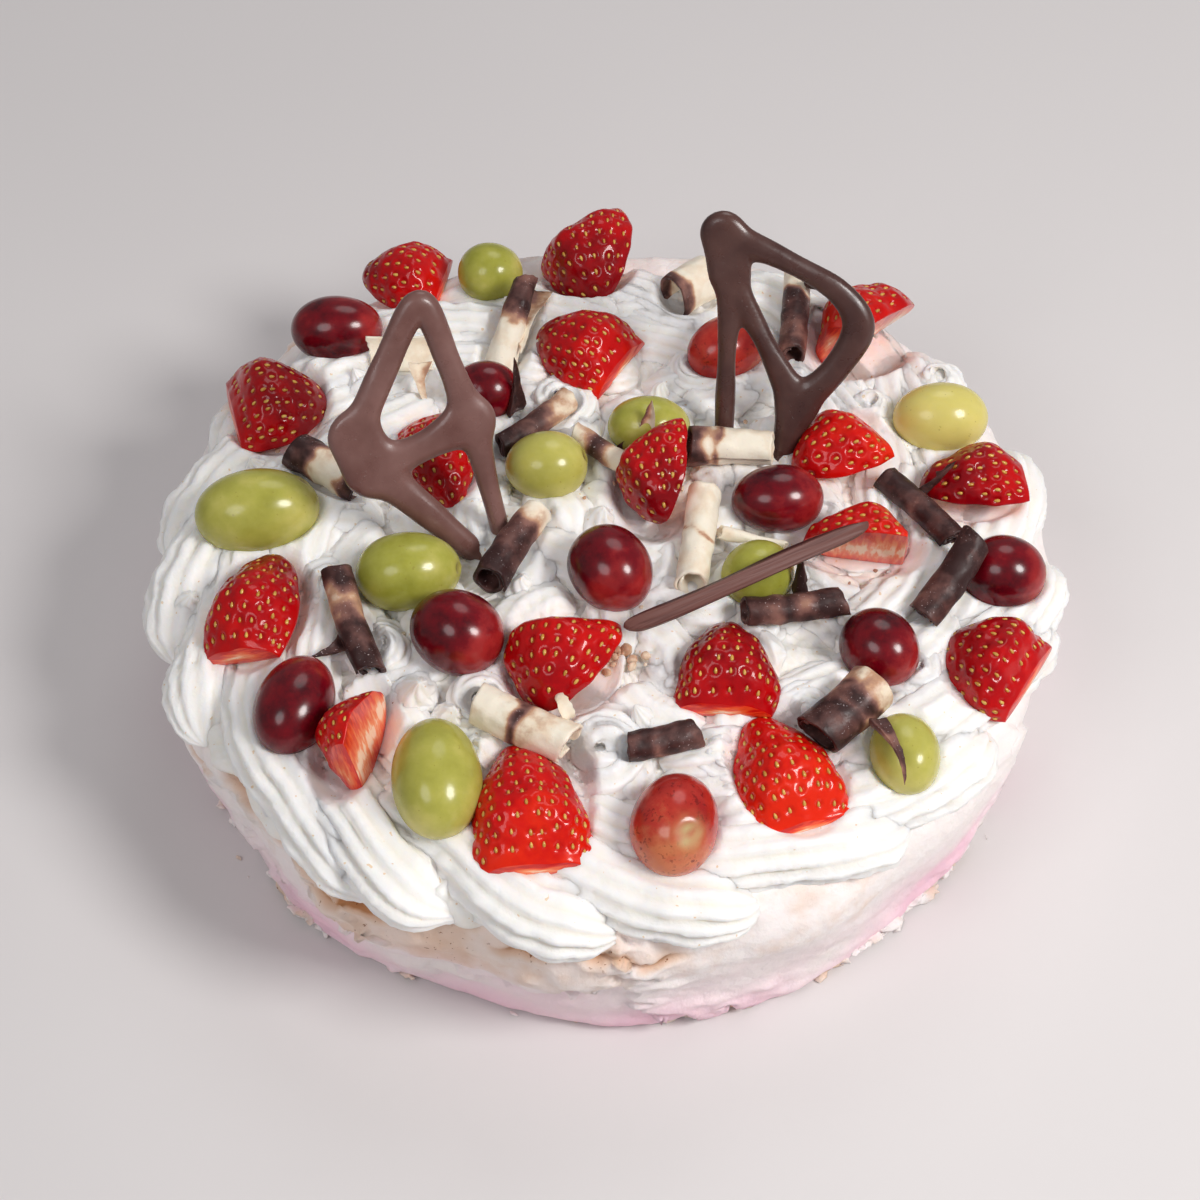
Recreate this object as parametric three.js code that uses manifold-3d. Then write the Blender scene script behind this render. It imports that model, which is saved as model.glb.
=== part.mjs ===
// A pavlova: a round meringue base under piped whipped cream, topped with cut strawberries,
// red and green grapes, rolled chocolate curls, a chocolate stick and two chocolate lattices.
// Millimetres, +Z up. The origin is under the middle of the base, on the surface it stands on.
// Azimuths run from +X (the right) towards +Y (the back).
import * as THREE from 'three';
import { mergeVertices } from 'three/addons/utils/BufferGeometryUtils.js';
import Module from 'manifold-3d';

const wasm = await Module();
wasm.setup();

// ---------- driving dimensions ----------
const gap = 0.3;                       // clearance between pieces that touch

const rimRadius = 117;                 // meringue, at its widest
const footRadius = 111;
const meringueHeight = 47;             // crest of its rim
const dishDepth = 7;                   // how far the middle of its top lies below the crest
const meringueSegments = 40;
const wobble = 1.1;                    // how unevenly the wall bulges

const creamMiddle = 60;                // height of the smoothed cream top in the middle
const creamFall = 9;                   // how much lower it is at its edge
const creamSegments = 44;
const creamRings = [0, 0.2, 0.4, 0.56, 0.68, 0.77, 0.83, 0.88, 0.925, 0.965, 1];   // shares of the radius
const creamEdges = [117, 109, 99, 108, 115, 119.5, 117.5, 114];   // edge radius every 45 degrees
const lobeDepth = 1.2;                 // scalloped edge of the piping
const lobeCount = 13;
const lipDrop = 6;                     // how far the edge hangs
const ridgeHeight = 1.5;               // ridges that the star nozzle leaves
const ridgePitch = 8.5;
const borderWidth = 34;                // piped border, measured in from the edge

const seatGrowth = 0.35;               // a topping's seat in the cream is this much larger

const curlWall = 1.2;
const curlOpening = 50 * Math.PI / 180;   // the slot that an open curl leaves
const latticeThickness = 4.6;

const colours = {
  meringue: 0xf1e3dc, cream: 0xfbf7f0, strawberry: 0xc81a1c, redGrape: 0x6e1220,
  greenGrape: 0xb5b43c, darkChocolate: 0x3a2220, milkChocolate: 0x6b4a44, whiteChocolate: 0xeee0c6,
};

// Piped rosettes: middle x, y, radius and height above the cream around them.
const rosettes = [
  [0, -74, 17, 3.2], [30, -73, 14, 2.6], [50, -61, 13, 2.4], [80, -50, 15, 2.8], [104, -33, 13, 2.4],
  [27, 82, 14, 3.0], [60, 76, 12, 2.4], [92, 52, 13, 2.6], [72, 40, 12, 2.2], [-82, 14, 13, 2.4],
  [-70, -22, 13, 2.2], [-70, -88, 12, 2.4], [-30, -104, 12, 2.4], [95, -78, 13, 2.4],
  [-100, -40, 12, 2.2],
];

// Halved strawberries: x, y, length, radius, heading from the stalk end to the tip, roll, lift.
// The skin is up at roll 0, and the cut face comes into sight as the roll passes 90 degrees.
const strawberries = [
  [-3, 99, 28, 15, 90, -50, 5], [-55, 95, 24, 12, 168, 0, -1], [-4, 58.5, 27, 13.5, 148, 0, 1],
  [-87, 43, 26, 16, 28, -10, 0], [-42.5, 19, 30, 10.5, -75, 10, 0], [17.5, 5, 26, 12.5, 93, -70, 6],
  [67.9, 21, 21, 13, 208, 25, 3], [76, 67, 28, 15, 37, -62, 6], [99, 12, 27, 12, 185, 25, 3],
  [66, -14, 26, 12, 172, 85, 6], [98.5, -44, 24, 14.5, 148, 0, 0], [-86, -30.5, 34, 12.5, 78, -25, 2.5],
  [-56, -71, 23, 12.5, 75, -88, 6], [-9.5, -50, 25, 15, -105, 30, 3], [31.5, -50, 27, 13, 87, 0, 0],
  [44.5, -79, 34, 13.5, 108, 0, -1], [-17, -89, 37, 14.5, 97, 0, -1],
];

// Grapes: x, y, half length, half width, heading, lift of the middle above the cream.
const redGrapes = [
  [-73, 69, 12.7, 9.3, 3, 5], [-31, 41.5, 9.5, 8.2, 0, 4], [35, 58, 12, 8.8, 30, 5],
  [46, 2, 12, 9.1, 5, 5], [2.5, -22.5, 12, 10.5, -60, 6], [-35.5, -41.5, 12.2, 10.7, -30, 6],
  [-75, -60, 13.7, 9.6, 74, 5], [103.5, -16.5, 11, 9.6, -5, 4], [69.5, -43.5, 10.7, 9.5, -50, 5],
  [17.5, -95, 13, 10.6, -100, 6],
];
const greenGrapes = [
  [-31, 91, 9.2, 8.7, 0, 5], [91.5, 35, 12.8, 9.7, 0, 5], [-89, 0.5, 16.2, 11.1, 10, 6],
  [-14, 12.5, 10.8, 9.2, 5, 5], [-48.5, -21.5, 13.4, 10.3, 8, 5], [-39, -82.5, 15.9, 11, -85, 6],
  [13, 28.5, 11, 8.2, 0, 3], [40, -21.5, 9.5, 8.5, 20, 4], [74, -73.5, 10.6, 8.5, -80, 5],
];

// Rolled chocolate curls: x, y, length, radius, heading, pitch (far end up), lift, taper, kind.
// The taper is the far end's radius as a share of the near end's.
const curls = [
  [-24, 66, 31, 4.6, 75, 17, 6, 0.7, 'dark'], [-54.5, 57.5, 20, 5, 2, 0, 4, 1, 'white'],
  [-72, 15.5, 23, 5, -35, 0, 4, 1, 'dark'], [-17, 29, 26, 3.4, 43, 0, 3.4, 1.1, 'dark'],
  [-22, -14, 26, 4.6, 61, 4, 5.1, 0.8, 'dark'], [0, 18.5, 20, 3, -41, 0, 5, 1, 'white'],
  [34, 18, 24, 5.8, -1, 0, 6.6, 0.8, 'white'], [25, -11, 32, 4.4, -98, -3, 5, 1, 'white'],
  [39, -11, 19, 2, -15, 0, 5, 0.5, 'white'], [83, 2, 28, 3.7, -52, 0, 5, 1, 'dark'],
  [88, -24, 26, 4.6, -128, -20, 10, 1, 'dark'], [49, -33, 27, 3.9, 8, 0, 6, 1, 'dark'],
  [59.5, -64, 20, 5.6, -138, -8, 8, 1, 'dark'], [16, -72, 19, 3.9, 15, 0, 5, 1, 'dark'],
  [-18, -67, 26, 4.8, -28, 0, 5, 1, 'white'], [-61.5, -37, 31, 4, -70, -14, 7, 1, 'dark'],
  [26, 84, 15, 6.5, 40, 0, 5, 1, 'white'], [54, 72, 31, 4, -96, -5, 6, 1, 'white'],
];

// The stick: middle x, y, length, width, thickness, heading, pitch, lift.
const stick = [36.5, -31, 68, 5.5, 4, 25, 4, 15.5];

// Lattices: foot x, y, turn, lean back from upright, then the joints in the plate (across, up),
// and the arms: the two joints that an arm links and its half width at each.
const lattices = {
  chocolate_lattice_left: {
    place: [-26, -9, 15, 30], colour: 'milkChocolate',
    joints: {
      top: [-11, 68], left: [-32, 38], leftLow: [-29, 29], right: [-2.5, 36],
      leftFoot: [-4, -3], rightFoot: [1, -3],
    },
    arms: [
      ['top', 'left', 3.4, 3.8], ['top', 'right', 3.4, 3.4], ['left', 'leftLow', 6.6, 7.2],
      ['leftLow', 'right', 4, 5.4], ['leftLow', 'leftFoot', 4, 2.9], ['right', 'rightFoot', 3.4, 2.2],
    ],
  },
  chocolate_lattice_right: {
    place: [43, 22, -8, 30], colour: 'darkChocolate',
    joints: {
      top: [-15.5, 60], neck: [-13, 50], leftFoot: [-10, -3], joint: [8, 16], foot: [4, -3],
      band: [0, 55], bendHigh: [15, 48], bend: [21.5, 39], bendLow: [17, 27],
    },
    arms: [
      ['top', 'neck', 5.4, 4.8], ['neck', 'leftFoot', 3.2, 2.9], ['neck', 'joint', 2.6, 4.4],
      ['joint', 'foot', 4, 1.6], ['top', 'band', 4, 3.2], ['band', 'bendHigh', 3.2, 3.6],
      ['bendHigh', 'bend', 3.6, 3.8], ['bend', 'bendLow', 3.8, 3.6], ['bendLow', 'joint', 3.4, 3.6],
    ],
  },
};
const footHeight = 57;                 // the lattices' plate coordinates start at this height

const middleOffset = [-1.3, 2.2];      // moves the whole so that its box is centred on the origin

// ---------- geometry helpers ----------
const degrees = Math.PI / 180;

// The same closed mesh with its shared vertices merged, as manifold-3d and the solids need it.
function merged(geometry) {
  const plain = geometry.index ? geometry.toNonIndexed() : geometry;
  plain.deleteAttribute('normal');
  plain.deleteAttribute('uv');
  return mergeVertices(plain, 1e-4);
}

function toSolid(geometry) {
  const plain = merged(geometry.clone());
  return new wasm.Manifold(new wasm.Mesh({
    numProp: 3,
    vertProperties: new Float32Array(plain.attributes.position.array),
    triVerts: new Uint32Array(plain.index.array),
  }));
}

function toGeometry(manifold) {
  const mesh = manifold.getMesh();
  const geometry = new THREE.BufferGeometry();
  geometry.setAttribute('position', new THREE.BufferAttribute(new Float32Array(mesh.vertProperties), 3));
  geometry.setIndex(new THREE.BufferAttribute(new Uint32Array(mesh.triVerts), 1));
  return geometry;
}

// Joins rings of points, all with the same count, into one closed skin. A ring's points go round
// anticlockwise as seen from the far end. Both ends are closed by a fan to the ring's middle.
function loft(rings) {
  const count = rings[0].length;
  const middle = (ring) => ring.reduce((sum, p) => sum.add(p), new THREE.Vector3()).divideScalar(count);
  const points = [...rings.flat(), middle(rings[0]), middle(rings.at(-1))];
  const near = points.length - 2;
  const far = points.length - 1;
  const last = (rings.length - 1) * count;
  const faces = [];
  for (let i = 0; i < count; i += 1) {
    const next = (i + 1) % count;
    faces.push(near, next, i, far, last + i, last + next);
    for (let start = 0; start < last; start += count) {
      faces.push(start + i, start + next, start + count + next);
      faces.push(start + i, start + count + next, start + count + i);
    }
  }
  const geometry = new THREE.BufferGeometry().setFromPoints(points);
  geometry.setIndex(faces);
  return geometry;
}

// A closed surface of revolution about Z from [radius, height] points, each then moved by shift.
function turned(profile, segments, shift) {
  const geometry = new THREE.LatheGeometry(profile.map(([r, z]) => new THREE.Vector2(r, z)), segments);
  geometry.rotateX(Math.PI / 2);
  const plain = merged(geometry);
  const position = plain.attributes.position;
  const point = new THREE.Vector3();
  for (let i = 0; i < position.count; i += 1) {
    shift(point.fromBufferAttribute(position, i));
    position.setXYZ(i, point.x, point.y, point.z);
  }
  return plain;
}

function named(name, geometry, colour, roughness) {
  const material = new THREE.MeshStandardMaterial({ color: colours[colour], roughness, metalness: 0 });
  const mesh = new THREE.Mesh(geometry, material);
  mesh.name = name;
  return mesh;
}

// ---------- meringue ----------
// Bulging wall, rolled rim and a top that sinks towards the middle. The wall wanders in and out
// in a few long waves, and a fold of crust stands proud along the front right.
function meringueGeometry(growth) {
  const profile = [
    [0, 0], [footRadius, 0], [footRadius + 2, 4], [footRadius + 2.6, 14], [rimRadius - 1.5, 26],
    [rimRadius, 36], [rimRadius - 1.5, 43], [rimRadius - 7, meringueHeight],
    [rimRadius - 15, meringueHeight - 2],
    [rimRadius * 0.6, meringueHeight - dishDepth + 1], [0, meringueHeight - dishDepth],
  ];
  return turned(profile, meringueSegments, (point) => {
    const angle = Math.atan2(point.y, point.x);
    const reach = Math.hypot(point.x, point.y);
    const share = reach / rimRadius;
    const wave = Math.sin(3 * angle + 0.6) + 0.7 * Math.sin(5 * angle + 2) + 0.5 * Math.sin(11 * angle);
    const fold = 1.4 * Math.max(0, Math.sin(2 * (angle + 1.9))) * (angle < 0 ? 1 : 0);
    const scale = 1 + share * (wobble * wave + fold + growth) / rimRadius;
    point.x *= scale;
    point.y *= scale;
    const swell = share * (point.z / meringueHeight) * 0.5 * Math.sin(4 * angle + 1);
    if (point.z > 0.01) point.z += growth + swell;
  });
}

// ---------- cream ----------
// Radius of the cream's edge at an angle: the eight named radii, eased into each other, plus lobes.
function creamEdge(angle) {
  const turn = ((angle / (Math.PI / 4)) % 8 + 8) % 8;
  const index = Math.floor(turn);
  const ease = (1 - Math.cos((turn - index) * Math.PI)) / 2;
  const radius = creamEdges[index] * (1 - ease) + creamEdges[(index + 1) % 8] * ease;
  return radius + lobeDepth * Math.sin(lobeCount * angle + 2 * Math.sin(2 * angle));
}

// The smoothed top: a shallow dome.
function creamBase(x, y) {
  const share = Math.hypot(x, y) / creamEdge(Math.atan2(y, x));
  return creamMiddle - creamFall * share * share;
}

// The piped top: flowing ridges along the border and a coil on each rosette's mound.
function creamTop(x, y) {
  const angle = Math.atan2(y, x);
  const reach = Math.hypot(x, y);
  const inward = creamEdge(angle) - reach;
  const border = Math.max(0, 1 - inward / borderWidth);
  let height = creamBase(x, y);
  const ridgeTurn = 2 * Math.PI * inward / ridgePitch + 1.5 * Math.sin(5 * angle);
  height += ridgeHeight * border * Math.cos(ridgeTurn);
  height += 0.6 * Math.sin(x / 6 + 1.3 * Math.sin(y / 9)) * Math.sin(y / 7);
  for (const [middleX, middleY, radius, rise] of rosettes) {
    const away = Math.hypot(x - middleX, y - middleY) / radius;
    if (away < 1) {
      const round = Math.atan2(y - middleY, x - middleX);
      const mound = (1 - away * away) ** 2;
      const coilTurn = 2 * Math.PI * away * radius / ridgePitch - round;
      height += rise * mound + ridgeHeight * 0.6 * (1 - away) * Math.cos(coilTurn);
    }
  }
  return height;
}

// The whole body of cream before its underside and the toppings' seats are cut. The profile's
// radii are shares of the edge radius, its heights depths below the top or, inside, true heights.
function creamGeometry() {
  const profile = [[0, -2], [0.9, -2], [0.965, -1], [0.99, -0.7], [1.005, -0.4]];
  for (const share of [...creamRings].reverse()) profile.push([share, 0]);
  const underside = meringueHeight - dishDepth - 2;
  return turned(profile, creamSegments, (point) => {
    const share = Math.hypot(point.x, point.y);
    const depth = point.z;
    const angle = Math.atan2(point.y, point.x);
    const reach = share * creamEdge(angle);
    point.x = reach * Math.cos(angle);
    point.y = reach * Math.sin(angle);
    point.z = depth <= -2 ? underside : creamTop(point.x, point.y) + depth * lipDrop;
  });
}

// ---------- toppings ----------
// Half of a strawberry cut through its stalk. At share t of its length the radius rises from 0.8
// to 1 over the shoulder and then falls to the tip in a rounded cone.
function strawberryGeometry(length, radius, growth) {
  const shoulder = 0.22;
  const stations = [0, 0.12, 0.4, 0.7, 0.9, 1];
  const arc = 6;
  const rings = stations.map((t) => {
    const cone = Math.max(0, (t - shoulder) / (1 - shoulder));
    const share = t < shoulder
      ? 0.8 + 0.2 * Math.sin(Math.PI / 2 * t / shoulder)
      : (1 - Math.min(cone, 0.985) ** 1.9) ** 0.62;
    const x = (t - 0.45) * (length + 2 * growth);
    return Array.from({ length: arc }, (_, i) => {
      const angle = Math.PI * i / (arc - 1) - Math.PI / 2;
      const reach = (radius + growth) * share;
      const height = i % (arc - 1) === 0 ? -growth : reach * Math.cos(angle);
      return new THREE.Vector3(x, -reach * Math.sin(angle), height);
    });
  });
  return loft(rings);
}

function grapeGeometry(halfLength, halfWidth, growth) {
  const ball = new THREE.SphereGeometry(1, 8, 5);
  ball.rotateZ(Math.PI / 2);
  return ball.scale(halfLength + growth, halfWidth + growth, halfWidth + growth);
}

// A rolled curl: a C-shaped section, open below at the back, carried along X and tapered.
function curlGeometry(length, radius, taper) {
  const steps = 7;
  const start = -Math.PI / 2 + curlOpening / 2;
  const sweep = 2 * Math.PI - curlOpening;
  const section = new THREE.Shape();
  const at = (reach, i) => {
    const angle = start + sweep * i / steps;
    return [reach * Math.cos(angle), reach * Math.sin(angle)];
  };
  section.moveTo(...at(radius, 0));
  for (let i = 1; i <= steps; i += 1) section.lineTo(...at(radius, i));
  for (let i = steps; i >= 0; i -= 1) section.lineTo(...at(radius - curlWall, i));
  section.closePath();
  const geometry = new THREE.ExtrudeGeometry(section, { depth: length, bevelEnabled: false });
  geometry.translate(0, 0, -length / 2);
  return tapered(geometry, length, taper).rotateZ(Math.PI / 2).rotateY(Math.PI / 2);
}

// The room a curl takes, as a plain six-sided bar around it.
function curlRoom(length, radius, taper, growth) {
  const sides = 6;
  const reach = (radius + growth) / Math.cos(Math.PI / sides);
  const bar = new THREE.CylinderGeometry(reach, reach, length + 2 * growth, sides);
  bar.rotateX(Math.PI / 2);
  return tapered(bar, length, taper).rotateZ(Math.PI / 2).rotateY(Math.PI / 2);
}

function tapered(geometry, length, taper) {
  const position = geometry.attributes.position;
  for (let i = 0; i < position.count; i += 1) {
    const share = position.getZ(i) / length + 0.5;
    const scale = 1 + (taper - 1) * share;
    position.setXYZ(i, position.getX(i) * scale, position.getY(i) * scale, position.getZ(i));
  }
  return geometry;
}

// A blade with a ridge along its back: five-sided sections that narrow to both ends and bow a little.
function stickGeometry(length, width, thickness, growth) {
  const section = [[0.5, -0.4], [0.5, 0], [0, 0.5], [-0.5, 0.1], [-0.5, -0.4]];
  const shares = [-0.5, -0.46, -0.36, -0.12, 0.12, 0.36, 0.46, 0.5];
  return loft(shares.map((share) => {
    const breadth = Math.sqrt(Math.max(0.05, 1 - (2 * Math.abs(share)) ** 6));
    const bow = 1.4 * Math.sin(2 * Math.PI * share);
    return section.map(([across, up]) => new THREE.Vector3(
      share * (length + 2 * growth),
      across * (width + 2 * growth) * breadth + bow,
      up * (thickness + 2 * growth),
    ));
  }));
}

// One arm of a lattice: a plate whose outline is the hull of two round joints.
function armSolid([x1, y1], [x2, y2], r1, r2, growth) {
  const direction = Math.atan2(y2 - y1, x2 - x1);
  const spread = Math.acos((r1 - r2) / Math.hypot(x2 - x1, y2 - y1));
  const steps = 3;
  const outline = [];
  const round = (x, y, r, from, to) => {
    for (let i = 0; i <= steps; i += 1) {
      const angle = from + (to - from) * i / steps;
      outline.push(new THREE.Vector2(x + r * Math.cos(angle), y + r * Math.sin(angle)));
    }
  };
  round(x2, y2, r2 + growth, direction - spread, direction + spread);
  round(x1, y1, r1 + growth, direction + spread, direction + 2 * Math.PI - spread);
  const plate = new THREE.ExtrudeGeometry(new THREE.Shape(outline), {
    depth: latticeThickness + 2 * growth, bevelEnabled: false,
  });
  return toSolid(plate.translate(0, 0, -growth - latticeThickness / 2));
}

// The plate lies in X and Y here, and is stood up and leaned back by its mesh.
function latticeGeometry({ joints, arms }, growth) {
  const solids = arms.map(([from, to, r1, r2]) => armSolid(joints[from], joints[to], r1, r2, growth));
  return toGeometry(solids.reduce((sum, next) => sum.add(next)));
}

// ---------- assembly ----------
const cake = new THREE.Group();
const seats = [];

// Adds a topping and remembers its seat: the same form, a little larger, in the same place.
function addTopping(mesh, seatGeometry, [x, y, z], [heading, pitch, roll]) {
  mesh.position.set(x, y, z);
  mesh.rotation.set(roll * degrees, -pitch * degrees, heading * degrees, 'ZYX');
  mesh.updateMatrixWorld();
  cake.add(mesh);
  seats.push(toSolid(seatGeometry.applyMatrix4(mesh.matrixWorld)));
}

const numbered = (name, index) => `${name}_${String(index + 1).padStart(2, '0')}`;

strawberries.forEach(([x, y, length, radius, heading, roll, lift], index) => {
  const name = numbered('strawberry', index);
  const mesh = named(name, strawberryGeometry(length, radius, 0), 'strawberry', 0.3);
  const place = [x, y, creamBase(x, y) + lift];
  addTopping(mesh, strawberryGeometry(length, radius, seatGrowth), place, [heading, 0, roll]);
});

const grapeKinds = [['red_grape', redGrapes, 'redGrape'], ['green_grape', greenGrapes, 'greenGrape']];
for (const [name, list, colour] of grapeKinds) {
  list.forEach(([x, y, halfLength, halfWidth, heading, lift], index) => {
    const mesh = named(numbered(name, index), grapeGeometry(halfLength, halfWidth, 0), colour, 0.25);
    const place = [x, y, creamBase(x, y) + lift];
    addTopping(mesh, grapeGeometry(halfLength, halfWidth, seatGrowth), place, [heading, 0, 0]);
  });
}

curls.forEach(([x, y, length, radius, heading, pitch, lift, taper, kind], index) => {
  const name = numbered('curl', index);
  const mesh = named(name, curlGeometry(length, radius, taper), `${kind}Chocolate`, 0.4);
  const place = [x, y, creamBase(x, y) + lift];
  addTopping(mesh, curlRoom(length, radius, taper, seatGrowth), place, [heading, pitch, 0]);
});

{
  const [x, y, length, width, thickness, heading, pitch, lift] = stick;
  const mesh = named('chocolate_stick', stickGeometry(length, width, thickness, 0), 'darkChocolate', 0.4);
  const place = [x, y, creamBase(x, y) + lift];
  addTopping(mesh, stickGeometry(length, width, thickness, seatGrowth), place, [heading, pitch, 0]);
}

for (const [name, lattice] of Object.entries(lattices)) {
  const [x, y, turn, lean] = lattice.place;
  const mesh = named(name, latticeGeometry(lattice, 0), lattice.colour, 0.3);
  addTopping(mesh, latticeGeometry(lattice, seatGrowth), [x, y, footHeight], [turn, 0, 90 - lean]);
}

cake.add(named('meringue', meringueGeometry(0), 'meringue', 0.8));

// The cream takes the shape of the meringue's top below and of every seat above.
let cream = toSolid(creamGeometry()).subtract(toSolid(meringueGeometry(gap)));
for (const seat of seats) cream = cream.subtract(seat);
cake.add(named('cream', toGeometry(cream), 'cream', 0.5));

cake.position.set(...middleOffset, 0);

export default cake;
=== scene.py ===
"""A pavlova: a baked meringue base, piped whipped cream, cut strawberries, grapes and chocolate.

Shapes are worked out in millimetres as numpy arrays, and made into meshes in metres. Every topping
is built about the origin, turned, and then moved so that its box shares its CAD node's middle.
"""

import bpy
import numpy as np
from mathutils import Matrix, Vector


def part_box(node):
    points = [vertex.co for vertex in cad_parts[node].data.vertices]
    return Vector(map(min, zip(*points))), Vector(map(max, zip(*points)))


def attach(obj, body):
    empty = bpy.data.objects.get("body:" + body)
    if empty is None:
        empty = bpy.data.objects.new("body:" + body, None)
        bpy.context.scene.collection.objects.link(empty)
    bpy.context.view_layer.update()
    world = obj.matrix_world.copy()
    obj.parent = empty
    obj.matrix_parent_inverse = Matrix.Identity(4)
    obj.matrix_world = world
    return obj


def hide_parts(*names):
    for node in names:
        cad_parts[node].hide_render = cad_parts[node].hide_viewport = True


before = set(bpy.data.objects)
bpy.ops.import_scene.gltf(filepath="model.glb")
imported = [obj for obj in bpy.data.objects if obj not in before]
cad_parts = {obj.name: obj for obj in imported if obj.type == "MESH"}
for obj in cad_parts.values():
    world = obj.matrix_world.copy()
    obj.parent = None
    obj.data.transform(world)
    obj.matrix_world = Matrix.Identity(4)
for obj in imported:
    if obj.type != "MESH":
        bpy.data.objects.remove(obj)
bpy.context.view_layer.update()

MM = 0.001
TURN = 2 * np.pi
rng = np.random.default_rng(7)

# ---------------------------------------------------------------- driving sizes, in millimetres
RIM_RADIUS = 117.0          # meringue at its widest
MERINGUE_HEIGHT = 47.0
CREAM_MIDDLE = 60.0         # height of the smoothed cream in the middle
CREAM_FALL = 9.0            # how much lower it is at its edge
CREAM_EDGES = [117, 109, 99, 108, 115, 119.5, 117.5, 114]   # edge radius every 45 degrees from +X
BED_DEPTH = 2.6             # how far the plain cream lies below the piped strokes' tops
CUT_SHOULDER = 0.22         # share of a strawberry's length over which its shoulder widens

# Halved strawberries: length, radius, heading from stalk end to tip, roll.
STRAWBERRIES = [
    (27, 15, -80, 42), (24, 12, 168, 0), (27, 13.5, 148, 0), (26, 16, 15, -10), (30, 10.5, -75, 10),
    (26, 12.5, -87, 60), (24, 13, 208, 25), (28, 15, 37, -62), (27, 12, 185, 25), (26, 12, 172, 72),
    (24, 14.5, 148, 0), (34, 12.5, 78, -25), (23, 12.5, 75, -100), (25, 15, -105, 30), (27, 13, 87, 0),
    (34, 13.5, 108, 0), (37, 14.5, 97, 0),
]
# How far some sit from the middle of their node: x, y, z.
NUDGES = {1: (1.5, -3.5, -2.0), 6: (-0.5, 0.5, 0.5), 7: (-5.0, -0.5, -0.5)}
# Their ripeness from orange-red at 0 to deep crimson at 1.
RIPENESS = [0.75, 0.6, 0.55, 0.85, 0.5, 0.7, 0.25, 0.3, 0.8, 0.3, 0.75, 0.7, 0.45, 0.5, 0.85, 0.15, 0.3]

# Grapes: half length, half width, heading, look. The look names their material.
RED_GRAPES = [
    (12.7, 9.3, 3, "dark"), (9.5, 8.2, 0, "dark"), (12, 8.8, 30, "coral"), (12, 9.1, 5, "dark"),
    (12, 10.5, -60, "dark"), (12.2, 10.7, -30, "dark"), (13.7, 9.6, 74, "dark"), (11, 9.6, -5, "dark"),
    (10.7, 9.5, -50, "dark"), (13, 10.6, -100, "coral"),
]
GREEN_GRAPES = [
    (9.2, 8.7, 0), (12.8, 9.7, 0), (16.2, 11.1, 10), (10.8, 9.2, 5), (13.4, 10.3, 8), (15.9, 11, -85),
    (11, 8.2, 0), (9.5, 8.5, 20), (10.6, 8.5, -80),
]
GREEN_PALE = {2: 0.7, 3: 0.1, 4: 0.25, 6: 0.1, 9: 0.2}    # how yellow and pale some are
# Grapes that show where the stalk was: the end (1 far, -1 near), and how far the scar tips up
# and to the side, in degrees.
GREEN_SCARS = {4: (1, 20, 0), 5: (1, 12, -14), 3: (1, 32, 22)}
RED_SCARS = {10: (1, 46, 36), 8: (1, 5, 0), 3: (1, 0, 0)}

# Camera: how far above the table it looks, its distance and what it looks at.
CAMERA_ELEVATION = 52.4
CAMERA_DISTANCE = 670
CAMERA_TARGET = (-1.3, -2.8, 30)

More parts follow.
